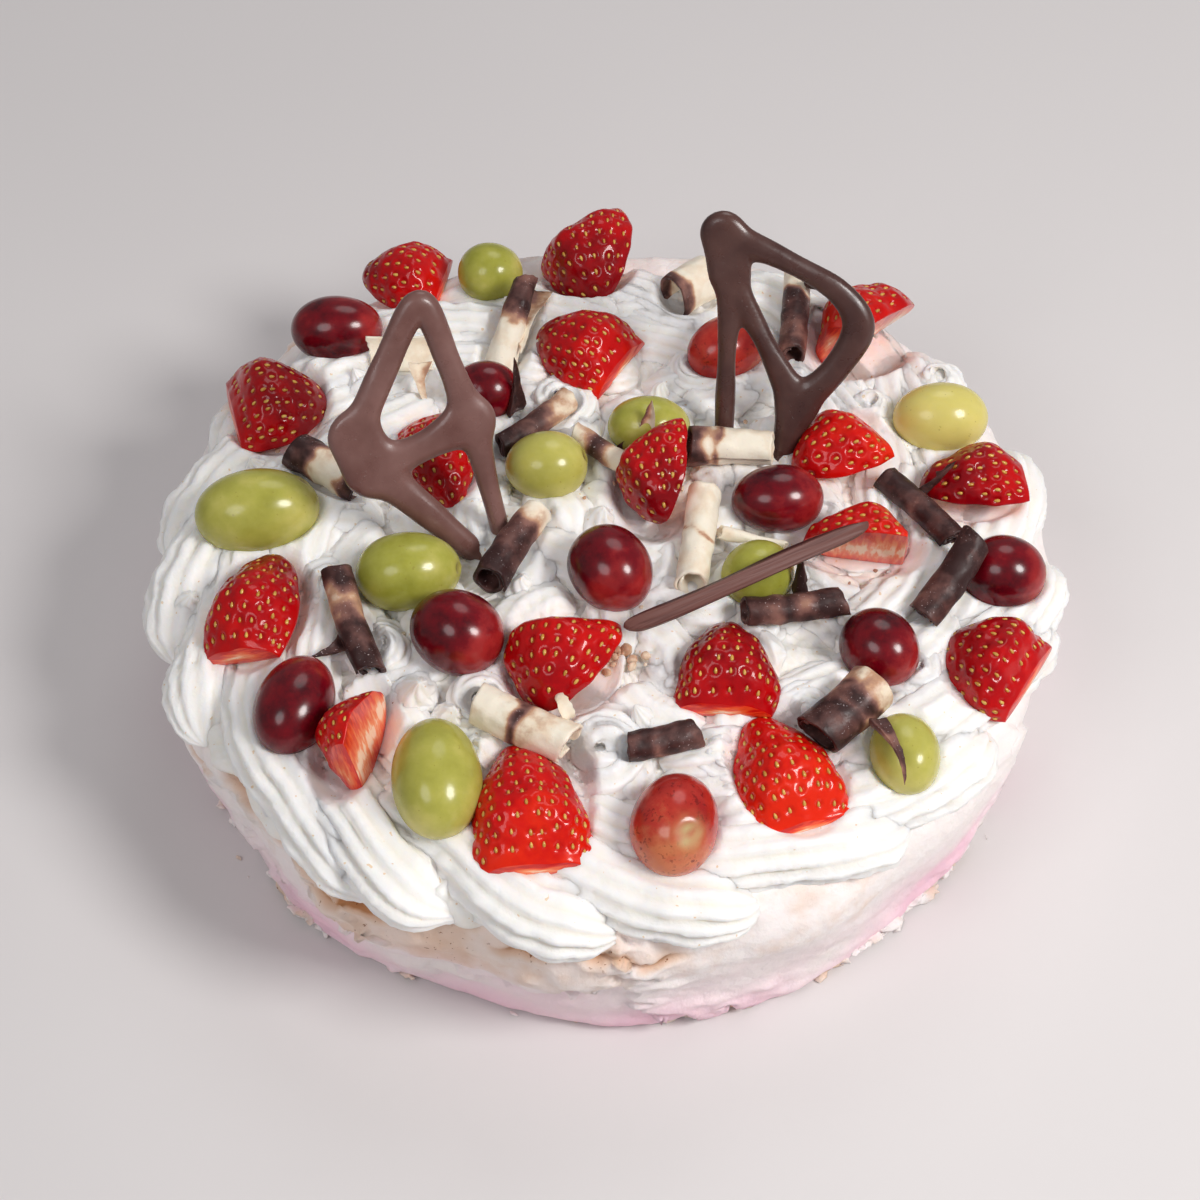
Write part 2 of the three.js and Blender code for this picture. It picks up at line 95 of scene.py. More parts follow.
# Curls: length, radius, heading, pitch, taper, turns rolled, start angle, then how milky the
# chocolate is along the curl: (share of the length, 0 dark to 1 white).
CURLS = [
    (31, 4.6, 75, 17, 0.7, 1.1, 200, [(0, 1), (0.48, 1), (0.6, 0.35), (0.72, 0.05), (1, 0.2)]),
    (20, 5, 2, 0, 1, 0.42, 20, [(0, 0.95), (0.5, 1), (1, 0.85)]),
    (23, 5.2, -35, 0, 1, 1.15, 205, [(0, 0.05), (0.3, 0.1), (0.42, 0.9), (0.75, 0.95), (0.9, 0.1), (1, 0)]),
    (26, 3.4, 43, 0, 1.1, 1.3, 190, [(0, 0), (0.35, 0.12), (0.55, 0.3), (0.75, 0.6), (1, 0.75)]),
    (26, 4.8, 61, 4, 0.85, 1.3, 210, [(0, 0.02), (0.5, 0.1), (0.74, 0.25), (0.86, 0.8), (1, 0.92)]),
    (20, 3, -41, 0, 1, 1.2, 200, [(0, 0.85), (0.25, 0.75), (0.4, 0.1), (0.55, 0.25), (0.75, 0.75), (1, 0.8)]),
    (24, 5.8, -1, 0, 0.8, 1.2, 170,
     [(0, 0.15), (0.12, 0.2), (0.22, 0.85), (0.34, 0.45), (0.45, 1), (1, 0.98)]),
    (32, 4.4, -98, -3, 1, 1.2, 215, [(0, 1), (0.45, 1), (0.52, 0.5), (0.58, 0.95), (1, 0.97)]),
    (19, 2, -15, 0, 0.5, 1.1, 200, [(0, 0.9), (1, 1)]),
    (28, 3.7, -52, 0, 1, 1.4, 200, [(0, 0), (0.4, 0.08), (0.5, 0.25), (0.6, 0.05), (1, 0.02)]),
    (26, 4.6, -128, -20, 1, 1.45, 215, [(0, 0.05), (0.3, 0), (0.6, 0.12), (1, 0.18)]),
    (27, 3.9, 8, 0, 1, 1.3, 190, [(0, 0.15), (0.25, 0.3), (0.4, 0.12), (0.7, 0.25), (0.85, 0.05), (1, 0.1)]),
    (21, 6.5, -138, -8, 1, 1.25, 210,
     [(0, 0.7), (0.18, 0.65), (0.3, 0.1), (0.5, 0.45), (0.62, 0.05), (1, 0.15)]),
    (19, 3.9, 15, 0, 1, 1.4, 200, [(0, 0.05), (0.3, 0.1), (0.4, 0.35), (0.55, 0.15), (1, 0.2)]),
    (27, 5.5, -28, 0, 1, 1.2, 215, [(0, 1), (0.34, 1), (0.42, 0.3), (0.5, 0.15), (0.58, 0.8), (1, 1)]),
    (31, 4, -70, -14, 1, 1.3, 200,
     [(0, 0.1), (0.12, 0.05), (0.3, 0.6), (0.45, 0.45), (0.6, 0.08), (1, 0.02)]),
    (15, 6.5, 40, 0, 1, 0.95, 240, [(0, 0.2), (0.16, 0.3), (0.3, 0.95), (1, 1)]),
    (31, 4, -96, -5, 1, 1.3, 210, [(0, 1), (0.2, 0.9), (0.3, 0.2), (0.6, 0.1), (0.85, 0.3), (1, 0.2)]),
]
CURL_WALL = 1.1
STROKE_STEPS = 90           # rings along a border stroke
FILLING_STEPS = 48          # rings along a filling stroke
BY_STICK = 16               # crumbs that lie beside the stick

# The stick: length, width, thickness, heading, pitch.
STICK = (68, 5.5, 4, 25, 4)

# Lattices: turn, lean back, then poured strands. A strand runs smoothly through its places in the
# plate: (across, up, half width).
LATTICES = {
    "chocolate_lattice_left": (15, 30, [
        [(-32, 38, 7.4), (-29, 29, 8.0)],
        [(-32, 38, 4.8), (-22, 54, 4.0), (-11, 68, 4.5), (-6, 53, 3.6), (-2.5, 36, 4.4)],
        [(-29, 29, 5.6), (-15, 32, 4.7), (-2.5, 36, 6.4)],
        [(-29, 29, 5.6), (-16, 12.5, 4.3), (-4, -3, 3.6)],
        [(-2.5, 36, 4.6), (-0.5, 16, 3.1), (1, -3, 2.5)],
    ]),
    "chocolate_lattice_right": (-8, 30, [
        [(-15.5, 60, 6.3), (-13, 50, 5.4)],
        [(-13, 50, 3.7), (-11.5, 24, 3.1), (-10, -3, 3.3)],
        [(-13, 50, 3.3), (-2, 32, 3.2), (8, 16, 5.2)],
        [(8, 16, 5.2), (6, 6, 3.8), (4, -3, 2.2)],
        [(-15.5, 60, 4.6), (0, 55, 3.5), (15, 48, 3.8), (21.5, 39, 4.6), (17, 27, 4.3), (8, 16, 4.8)],
    ]),
}
LATTICE_THICKNESS = 4.6

# Coiled rosettes of cream: middle x, y, outer radius and turns.
ROSETTES = [
    (-1, -71, 17, 1.9), (29, -71, 13, 1.6), (49, -58, 13, 1.6), (77, -45, 14, 1.7), (25, 84, 14, 1.6),
    (60, 78, 12, 1.5), (91, 54, 12, 1.5), (71, 42, 11, 1.4), (-83, 16, 13, 1.5), (-71, -20, 13, 1.5),
    (-31, -56, 12, 1.5), (-56, -40, 11, 1.4), (-12, 42, 12, 1.5), (26, 54, 11, 1.4),
]

# Pulled-up peaks of cream between the toppings: middle x, y, radius and height.
PEAKS = [
    (-48, -53, 8, 9), (-38, -60, 7, 7), (-24, 84, 7, 8), (-66, 52, 7, 6), (28, 66, 7, 7),
    (-66, 6, 6, 6), (-2, 0, 6, 6), (84, -20, 7, 6), (62, -30, 6, 6), (10, -62, 6, 6), (-22, -20, 6, 5),
    (-1.3, -75, 6, 5), (-92, 22, 7, 6), (-108, -20, 7, 4), (104, 14, 6, 5), (14, 44, 6, 6),
]


# ---------------------------------------------------------------- shape helpers
def wander(points, size, seed, waves=9):
    """Smooth noise, mostly from -1 to 1: a sum of plane waves in random directions, each about
    `size` long, divided by the root of their number."""
    random = np.random.default_rng(seed)
    direction = random.normal(size=(waves, 3))
    direction /= np.linalg.norm(direction, axis=1)[:, None]
    step = direction / (size * random.uniform(0.7, 1.5, waves))[:, None]
    phase = random.uniform(0, TURN, waves)
    return np.sin(points @ step.T * TURN + phase).sum(-1) / np.sqrt(waves)


def ease(value, low, high):
    """0 below low, 1 above high and a smooth S between them."""
    t = np.clip((value - low) / (high - low), 0, 1)
    return t * t * (3 - 2 * t)


def grid_quads(rows, columns, closed=True):
    """Quads between neighbouring rows of a grid of points, row by row. A closed grid also joins
    its last column to its first."""
    row = np.arange(rows - 1)[:, None] * columns
    column = np.arange(columns if closed else columns - 1)[None, :]
    after = (column + 1) % columns
    corners = [row + column, row + after, row + columns + after, row + columns + column]
    return np.stack(corners, -1).reshape(-1, 4)


def lofted(rings):
    """A closed skin over rings (stations, around, 3): quads between neighbours, and at both ends
    a fan of triangles to the end ring's middle. Returns points, quads, triangles."""
    stations, around = rings.shape[:2]
    ends = np.stack([rings[0].mean(0), rings[-1].mean(0)])
    points = np.concatenate([rings.reshape(-1, 3), ends])
    here = np.arange(around)
    after = (here + 1) % around
    last = (stations - 1) * around
    near = np.stack([np.full(around, len(points) - 2), after, here], -1)
    far = np.stack([np.full(around, len(points) - 1), last + here, last + after], -1)
    return points, grid_quads(stations, around), np.concatenate([near, far])


def ball(rings, around):
    """A unit ball as a closed grid skin with its poles on X."""
    angle = np.linspace(0, np.pi, rings + 2)[1:-1, None]
    turn = np.linspace(0, TURN, around, endpoint=False)[None, :]
    ring = np.sin(angle)
    grid = np.stack([-np.cos(angle) + 0 * turn, ring * np.cos(turn), ring * np.sin(turn)], -1)
    points, quads, fans = lofted(grid)
    points[-2:] = [[-1, 0, 0], [1, 0, 0]]
    return points, quads, fans


def joined(skins):
    """Several (points, quads, triangles) as one."""
    points, quads, triangles, start = [], [], [], 0
    for skin in skins:
        points.append(skin[0])
        quads.append(skin[1] + start)
        triangles.append(skin[2] + start)
        start += len(skin[0])
    return np.concatenate(points), np.concatenate(quads), np.concatenate(triangles)


def copies(skin, places):
    """The skin at many places at once. A place is a 3 by 3 matrix (columns are its axes) and a
    middle: (matrices (n, 3, 3), middles (n, 3))."""
    matrices, middles = places
    points, quads, triangles = skin
    moved = np.einsum("nij,pj->npi", matrices, points) + middles[:, None, :]
    start = (np.arange(len(middles)) * len(points))[:, None, None]
    return moved.reshape(-1, 3), (quads + start).reshape(-1, 4), (triangles + start).reshape(-1, 3)


def turning(heading, pitch=0.0, roll=0.0):
    """The matrix that rolls about X, lifts the +X end by pitch and then turns about Z."""
    a, b, c = np.radians([heading, -pitch, roll])
    about_z = np.array([[np.cos(a), -np.sin(a), 0], [np.sin(a), np.cos(a), 0], [0, 0, 1]])
    about_y = np.array([[np.cos(b), 0, np.sin(b)], [0, 1, 0], [-np.sin(b), 0, np.cos(b)]])
    about_x = np.array([[1, 0, 0], [0, np.cos(c), -np.sin(c)], [0, np.sin(c), np.cos(c)]])
    return about_z @ about_y @ about_x


def node_box(node):
    """Lowest and highest corner of a CAD node, in millimetres."""
    low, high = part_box(node)
    return np.array(low) / MM, np.array(high) / MM


def node_middle(node):
    """Middle of a CAD node's box."""
    low, high = node_box(node)
    return (low + high) / 2


def to_node(points, node):
    """The shift that brings the points' box to the middle of the node's box."""
    return node_middle(node) - (points.min(0) + points.max(0)) / 2


def placed(skin, turn, node):
    """The skin turned, then moved so that its box shares the node's middle."""
    points, quads, triangles = skin
    points = points @ turn.T
    return points + to_node(points, node), quads, triangles


def surface_normals(grid):
    """Unit normals of a grid of points (u, v, 3), from the cross product of its differences."""
    normal = np.cross(np.gradient(grid, axis=0), np.gradient(grid, axis=1))
    return normal / np.maximum(np.linalg.norm(normal, axis=-1, keepdims=True), 1e-9)


def enclosed(points, quads, triangles):
    """Six times the volume that a closed skin encloses, negative if it faces inwards."""
    halves = np.concatenate([quads[:, [0, 1, 2]], quads[:, [0, 2, 3]], triangles])
    a, b, c = (points[halves[:, k]] for k in range(3))
    return np.einsum("ij,ij->i", a, np.cross(b, c)).sum()


def add_piece(name, skin, material, stands_for=(), fields=None, second=None, marks=None):
    """Makes the mesh object. fields are named numbers or vectors at each point for the material,
    and marks choose the second material for some faces, quads first."""
    points, quads, triangles = skin
    if enclosed(points, quads, triangles) < 0:
        quads, triangles = quads[:, ::-1], triangles[:, ::-1]
    mesh = bpy.data.meshes.new(name)
    mesh.vertices.add(len(points))
    mesh.vertices.foreach_set("co", (points * MM).astype(np.float32).ravel())
    loops = np.concatenate([quads.ravel(), triangles.ravel()]).astype(np.int32)
    starts = np.concatenate([np.arange(len(quads)) * 4, len(quads) * 4 + np.arange(len(triangles)) * 3])
    mesh.loops.add(len(loops))
    mesh.loops.foreach_set("vertex_index", loops)
    mesh.polygons.add(len(starts))
    mesh.polygons.foreach_set("loop_start", starts.astype(np.int32))
    mesh.materials.append(material)
    if second is not None:
        mesh.materials.append(second)
        mesh.polygons.foreach_set("material_index", marks.astype(np.int32))
    mesh.update(calc_edges=True)
    for field, values in (fields or {}).items():
        kind, key = ("FLOAT", "value") if values.ndim == 1 else ("FLOAT_VECTOR", "vector")
        mesh.attributes.new(field, kind, "POINT").data.foreach_set(key, values.astype(np.float32).ravel())
    mesh.shade_smooth()
    piece = bpy.data.objects.new(name, mesh)
    bpy.context.scene.collection.objects.link(piece)
    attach(piece, "root")
    if stands_for:
        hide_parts(*stands_for)


# ---------------------------------------------------------------- material helpers
def tone(red, green, blue):
    """A display colour of 0 to 255 as a linear colour."""
    share = np.array([red, green, blue]) / 255
    linear = np.where(share <= 0.04045, share / 12.92, ((share + 0.055) / 1.055) ** 2.4)
    return (*linear, 1.0)


class Finish:
    """A material on the principled shader, with short ways to add its nodes."""

    def __init__(self, name, roughness, specular=0.5, coat=0.0, soft=0.0, reach=(1, 0.6, 0.4), depth=3.0):
        self.material = bpy.data.materials.new(name)
        self.material.use_nodes = True
        self.nodes = self.material.node_tree.nodes
        self.links = self.material.node_tree.links
        self.shader = self.nodes["Principled BSDF"]
        self.place = self.nodes.new("ShaderNodeTexCoord").outputs["Object"]
        self.set("Roughness", roughness)
        self.set("Specular IOR Level", specular)
        self.set("Coat Weight", coat)
        self.set("Coat Roughness", 0.08)
        if soft:
            self.set("Subsurface Weight", soft)
            self.set("Subsurface Radius", reach)
            self.set("Subsurface Scale", depth * MM)

    def set(self, socket, value):
        """Sets one of the shader's values."""
        self.shader.inputs[socket].default_value = value

    def into(self, socket, value):
        """Leads a node's output into the shader."""
        self.links.new(value, self.shader.inputs[socket])

    def field(self, name, vector=False):
        """One of the piece's own attributes."""
        node = self.nodes.new("ShaderNodeAttribute")
        node.attribute_name = name
        return node.outputs["Vector" if vector else "Fac"]

    def spread(self, source, stretch):
        """Coordinates stretched along their axes."""
        node = self.nodes.new("ShaderNodeMapping")
        node.inputs["Scale"].default_value = stretch
        self.links.new(source, node.inputs["Vector"])
        return node.outputs["Vector"]

    def noise(self, size, detail=3.0, source=None, rough=0.55):
        """Noise about `size` millimetres across, from the object's own coordinates."""
        node = self.nodes.new("ShaderNodeTexNoise")
        node.inputs["Scale"].default_value = 1 / (size * MM) if source is None else 1 / size
        node.inputs["Detail"].default_value = detail
        node.inputs["Roughness"].default_value = rough
        self.links.new(self.place if source is None else source, node.inputs["Vector"])
        return node.outputs["Fac"]

    def level(self, value, low, high, out_low=0.0, out_high=1.0):
        """The value eased from low..high to out_low..out_high."""
        node = self.nodes.new("ShaderNodeMapRange")
        node.interpolation_type = "SMOOTHSTEP"
        sockets = ("From Min", "From Max", "To Min", "To Max")
        for socket, number in zip(sockets, (low, high, out_low, out_high)):
            node.inputs[socket].default_value = number
        self.links.new(value, node.inputs["Value"])
        return node.outputs["Result"]

    def sum(self, operation, first, second):
        """Two values or outputs, joined by a math operation."""
        node = self.nodes.new("ShaderNodeMath")
        node.operation = operation
        for socket, value in zip(node.inputs, (first, second)):
            if isinstance(value, (int, float)):
                socket.default_value = value
            else:
                self.links.new(value, socket)
        return node.outputs[0]

    def ramp(self, value, stops):
        """A colour ramp over (position, colour) stops."""
        node = self.nodes.new("ShaderNodeValToRGB")
        elements = node.color_ramp.elements
        elements[0].position, elements[0].color = stops[0]
        elements[1].position, elements[1].color = stops[-1]
        for position, colour in stops[1:-1]:
            elements.new(position).color = colour
        self.links.new(value, node.inputs["Fac"])
        return node.outputs["Color"]

    def mix(self, share, first, second):
        """The first colour going over to the second by share."""
        node = self.nodes.new("ShaderNodeMix")
        node.data_type = "RGBA"
        for socket, value in ((node.inputs[0], share), (node.inputs[6], first), (node.inputs[7], second)):
            if isinstance(value, (tuple, float, int)):
                socket.default_value = value
            else:
                self.links.new(value, socket)
        return node.outputs[2]

    def bump(self, height, depth, strength=1.0):
        """Raises the surface by `depth` millimetres where the height is 1."""
        node = self.nodes.new("ShaderNodeBump")
        node.inputs["Strength"].default_value = strength
        node.inputs["Distance"].default_value = depth * MM
        self.links.new(height, node.inputs["Height"])
        self.links.new(node.outputs["Normal"], self.shader.inputs["Normal"])


# ---------------------------------------------------------------- materials
def meringue_finish():
    """Dry matte crust: pale, with painted pink reflected light (bounce) that grows towards the foot, toasted
    where the field says, with pores and brown specks."""
    finish = Finish("meringue_crust", 0.72, 0.25, soft=0.12, depth=2.0)
    uneven = finish.level(finish.noise(16, 4), 0.35, 0.75, -0.22, 0.16)
    toast = finish.sum("ADD", finish.field("toast"), uneven)
    # The pink mixed in towards the foot is painted reflected light, not the crust's own colour.
    pale = finish.mix(finish.field("pink_bounce"), tone(251, 242, 240), tone(252, 209, 224))
    crust = finish.ramp(toast, [(0.15, tone(255, 255, 255)), (0.5, tone(240, 222, 206)),
                                (0.8, tone(228, 198, 172)), (1.0, tone(196, 144, 100))])
    node = finish.nodes.new("ShaderNodeMix")
    node.data_type = "RGBA"
    node.blend_type = "MULTIPLY"
    node.inputs[0].default_value = 1.0
    finish.links.new(pale, node.inputs[6])
    finish.links.new(crust, node.inputs[7])
    dots = finish.level(finish.noise(1.3, 2), 0.66, 0.72)
    specks = finish.sum("MULTIPLY", dots, finish.level(toast, 0.25, 0.6))
    finish.into("Base Color", finish.mix(specks, node.outputs[2], tone(150, 96, 62)))
    hollows = finish.level(finish.noise(5, 4), 0.3, 0.7, 0, 1.2)
    pores = finish.sum("ADD", finish.noise(1.2, 5, rough=0.7), hollows)
    finish.bump(pores, 0.35, 0.6)
    return finish.material


def cream_finish():
    """Whipped cream: white and soft, with painted shade that turns it ivory in its folds, stained beside the
    fruit.
    """
    finish = Finish("whipped_cream", 0.46, 0.35, soft=0.55, reach=(1, 0.85, 0.7), depth=3.0)
    # Painted shade: the fold field darkens the cream to ivory in the grooves between ridges.
    base = finish.mix(finish.field("fold"), tone(254, 251, 248), tone(253, 244, 234))
    patches = finish.level(finish.noise(11, 3), 0.45, 0.75)
    juice = finish.sum("MULTIPLY", finish.field("juice"), patches)
    stained = finish.mix(finish.sum("MULTIPLY", juice, 0.4), base, tone(252, 204, 186))
    specks = finish.level(finish.noise(1.6, 1), 0.735, 0.765)
    finish.into("Base Color", finish.mix(finish.sum("MULTIPLY", specks, 0.6), stained, tone(232, 190, 130)))
    grain = finish.sum("ADD", finish.noise(0.9, 4), finish.level(finish.noise(3.5, 4), 0.3, 0.7))
    finish.bump(grain, 0.16, 0.7)
    return finish.material


def strawberry_skin():
    """Wet glossy skin: crimson to orange-red by ripeness, with painted shade darkening round each seed's pit.
    """
    finish = Finish("strawberry_skin", 0.3, 0.12, coat=0.42, soft=0.08, reach=(1, 0.12, 0.06), depth=1.4)
    ripe = finish.sum("ADD", finish.field("ripe"), finish.level(finish.noise(7, 3), 0.3, 0.7, -0.16, 0.16))
    skin = finish.ramp(ripe, [(0.0, tone(226, 38, 10)), (0.3, tone(204, 12, 9)), (0.7, tone(176, 3, 12)),
                              (1.0, tone(132, 1, 12))])
    # Painted shade in each seed's pit, set by the pit field.
    pit_shade = finish.mix(finish.sum("MULTIPLY", finish.field("pit"), 0.3), skin, tone(130, 4, 8))
    finish.into("Base Color", pit_shade)
    finish.bump(finish.noise(1.4, 3), 0.12, 0.5)
    return finish.material


def strawberry_flesh():
    """The cut face: orange-red at the skin, paler inwards, with streaks from core to skin."""
    finish = Finish("strawberry_flesh", 0.3, 0.5, coat=0.35, soft=0.25, reach=(1, 0.4, 0.25), depth=2.5)
    streaks = finish.noise(1, 3, finish.spread(finish.field("cut_place", True), (0.7, 0.14, 1)))
    depth = finish.sum("ADD", finish.field("cut_depth"), finish.level(streaks, 0.35, 0.65, -0.22, 0.26))
    colour = finish.ramp(depth, [(0.0, tone(200, 14, 10)), (0.2, tone(226, 52, 22)), (0.5, tone(238, 98, 46)),
                                 (0.8, tone(246, 152, 104)), (1.0, tone(252, 214, 186))])
    finish.into("Base Color", colour)
    finish.bump(streaks, 0.3, 0.5)
    return finish.material


def seed_finish():
    """Golden seeds, a little uneven in colour."""
    finish = Finish("strawberry_seeds", 0.35, 0.5, coat=0.3)
    stops = [(0.35, tone(184, 128, 42)), (0.65, tone(222, 178, 84))]
    finish.into("Base Color", finish.ramp(finish.noise(4, 2), stops))
    return finish.material


def red_grape_finish(name, dark, mid, pale, freckles):
    """Smooth skin, mottled from dark to mid, paler at the stalk end, with brown freckles."""
    finish = Finish(name, 0.22, 0.35, coat=0.2, soft=0.12, reach=(1, 0.2, 0.2), depth=2.5)
    paler = finish.level(finish.field("end"), 0.5, 1, -0.05, 0.25)
    mottle = finish.sum("ADD", finish.noise(8, 5, rough=0.62), paler)
    skin = finish.ramp(mottle, [(0.3, dark), (0.55, mid), (0.8, pale)])
    dots = finish.level(finish.noise(1.0, 3), 0.52, 0.64, 0, freckles)
    near = finish.level(finish.noise(5, 3), 0.42, 0.62)
    speckled = finish.mix(finish.sum("MULTIPLY", dots, near), skin, tone(112, 14, 16))
    scar = finish.mix(finish.field("scar"), speckled, tone(190, 168, 116))
    finish.into("Base Color", scar)
    finish.bump(finish.noise(2.5, 3), 0.06, 0.5)
    return finish.material


def green_grape_finish():
    """Translucent yellow-green skin, clearer below, with faint veins."""
    finish = Finish("green_grape_skin", 0.22, 0.35, coat=0.15, soft=0.4, reach=(0.9, 0.85, 0.3), depth=4.0)
    veins = finish.sum("ADD", finish.noise(9, 4), finish.level(finish.field("end"), 0.6, 1, 0, 0.2))
    skin = finish.ramp(veins, [(0.3, tone(150, 150, 54)), (0.55, tone(172, 170, 76)),
                               (0.85, tone(202, 194, 110))])
    dots = finish.level(finish.noise(1.1, 1), 0.72, 0.76, 0, 0.35)
    skin = finish.mix(finish.field("pale"), skin, tone(230, 214, 130))
    scar = finish.mix(finish.field("scar"), finish.mix(dots, skin, tone(140, 120, 50)), tone(112, 84, 40))
    finish.into("Base Color", scar)
    finish.bump(finish.noise(3, 3), 0.05, 0.4)
    return finish.material


def curl_finish():
    """Marbled chocolate from dark through mauve and caramel to ivory, scuffed and dusted."""
    finish = Finish("marbled_chocolate", 0.4, 0.3, soft=0.08, depth=1.5)
    swirl = finish.level(finish.noise(5, 4, rough=0.5), 0.3, 0.7, -0.16, 0.16)
    milk = finish.sum("ADD", finish.field("milk"), swirl)
    colour = finish.ramp(milk, [(0.02, tone(54, 31, 30)), (0.22, tone(92, 60, 56)), (0.42, tone(140, 98, 88)),
                                (0.62, tone(196, 152, 122)), (0.8, tone(236, 218, 194)),
                                (1.0, tone(244, 234, 216))])
    patches = finish.level(finish.noise(6, 2), 0.42, 0.62)
    dust = finish.sum("MULTIPLY", finish.level(finish.noise(0.55, 2), 0.66, 0.72), patches)
    dusted = finish.mix(finish.sum("MULTIPLY", dust, 0.7), colour, tone(214, 196, 196))
    finish.into("Base Color", dusted)
    finish.into("Roughness", finish.level(finish.noise(4, 4), 0.3, 0.7, 0.34, 0.6))
    finish.bump(finish.sum("ADD", finish.noise(0.8, 4), finish.noise(3, 2)), 0.16, 0.6)
    return finish.material


def moulded_finish(name, low, high):
    """Poured chocolate: nearly even, with a soft bloom and tiny bubbles."""
    finish = Finish(name, 0.3, 0.5, coat=0.12)
    finish.into("Base Color", finish.ramp(finish.noise(14, 4), [(0.3, low), (0.7, high)]))
    finish.into("Roughness", finish.level(finish.noise(5, 3), 0.3, 0.7, 0.24, 0.42))
    bubbles = finish.level(finish.noise(0.7, 1), 0.7, 0.76)
    finish.bump(finish.sum("ADD", finish.noise(1.8, 3), bubbles), 0.1, 0.5)
    return finish.material


def stick_finish():
    """Planed chocolate: fine lines along the blade, paler on the lower facet."""
    finish = Finish("planed_chocolate", 0.42, 0.2)
    lines = finish.noise(1, 3, finish.spread(finish.field("blade", True), (0.05, 1.6, 1)))
    side = finish.sum("ADD", finish.field("facet"), finish.level(lines, 0.3, 0.7, -0.25, 0.25))
    stops = [(0.1, tone(56, 28, 28)), (0.5, tone(80, 45, 42)), (0.9, tone(112, 74, 68))]
    finish.into("Base Color", finish.ramp(side, stops))
    finish.bump(lines, 0.2, 0.6)
    return finish.material


# ---------------------------------------------------------------- where the cream lies
def cream_edge(angle):
    """Radius of the cream's edge: the named radii every 45 degrees, eased into each other by a
    half cosine."""
    turn = (angle / (TURN / 8)) % 8
    index = np.floor(turn).astype(int)
    share = (1 - np.cos((turn - index) * np.pi)) / 2
    radii = np.array(CREAM_EDGES, float)
    return radii[index % 8] * (1 - share) + radii[(index + 1) % 8] * share


def cream_height(x, y):
    """The smoothed top: a shallow dome that falls with the square of the share of the edge."""
    share = np.hypot(x, y) / cream_edge(np.arctan2(y, x))
    return CREAM_MIDDLE - CREAM_FALL * share ** 2


def topping_footprints():
    """One row per topping: middle x, y, half length, half width, heading and the height that the
    cream stays under where the topping presses it down."""
    rows = []

    def add(name, half_length, half_width, heading, share):
        """One row; share is how far up the node's box the cream may come."""
        low, high = node_box(name)
        middle = (low + high) / 2
        rows.append((middle[0], middle[1], half_length, half_width, np.radians(heading),
                     low[2] + share * (high[2] - low[2])))

    for number, (length, radius, heading, roll) in enumerate(STRAWBERRIES, 1):
        width = radius * (0.42 + 0.58 * abs(np.cos(np.radians(roll))))
        add(f"strawberry_{number:02d}", length / 2 + 0.5, width, heading, 0.14)
    for kind, grapes in (("red", RED_GRAPES), ("green", GREEN_GRAPES)):
        for number, grape in enumerate(grapes, 1):
            add(f"{kind}_grape_{number:02d}", grape[0], grape[1], grape[2], 0.34)
    for number, curl in enumerate(CURLS, 1):
        add(f"curl_{number:02d}", curl[0] / 2 + 1, curl[1] + 0.5, curl[2], 0.16)
    return np.array(rows)


FOOTPRINTS = topping_footprints()


def pressed(points):
    """Keeps cream below the toppings' limits. Inside a footprint the limit is its height. Outside
    it rises with the distance, and the height goes over to it smoothly."""
    x, y, z = points.T.copy()
    for middle_x, middle_y, long, wide, heading, limit in FOOTPRINTS:
        near = np.hypot(x - middle_x, y - middle_y) < long + 9
        across, along = x[near] - middle_x, y[near] - middle_y
        local_x = across * np.cos(heading) + along * np.sin(heading)
        local_y = along * np.cos(heading) - across * np.sin(heading)
        share = np.hypot(local_x / long, local_y / wide)
        away = np.maximum(0, share - 0.92) * min(long, wide)
        top = limit + 1.1 * away + 0.05 * away ** 2
        over = np.maximum(0, z[near] - top + 0.6)
        z[near] -= over ** 2 / (over + 0.6)
    return np.stack([x, y, z], -1)


def juice_near(points):
    """How stained the cream is: falls off with the distance from the nearest strawberry."""
    stain = np.zeros(len(points))
    for middle_x, middle_y, long, wide, heading, _ in FOOTPRINTS[:len(STRAWBERRIES)]:
        away = np.hypot(points[:, 0] - middle_x, points[:, 1] - middle_y) - (long + wide) / 2
        stain = np.maximum(stain, np.exp(-(np.maximum(0, away) / 2.6) ** 2))
    return stain


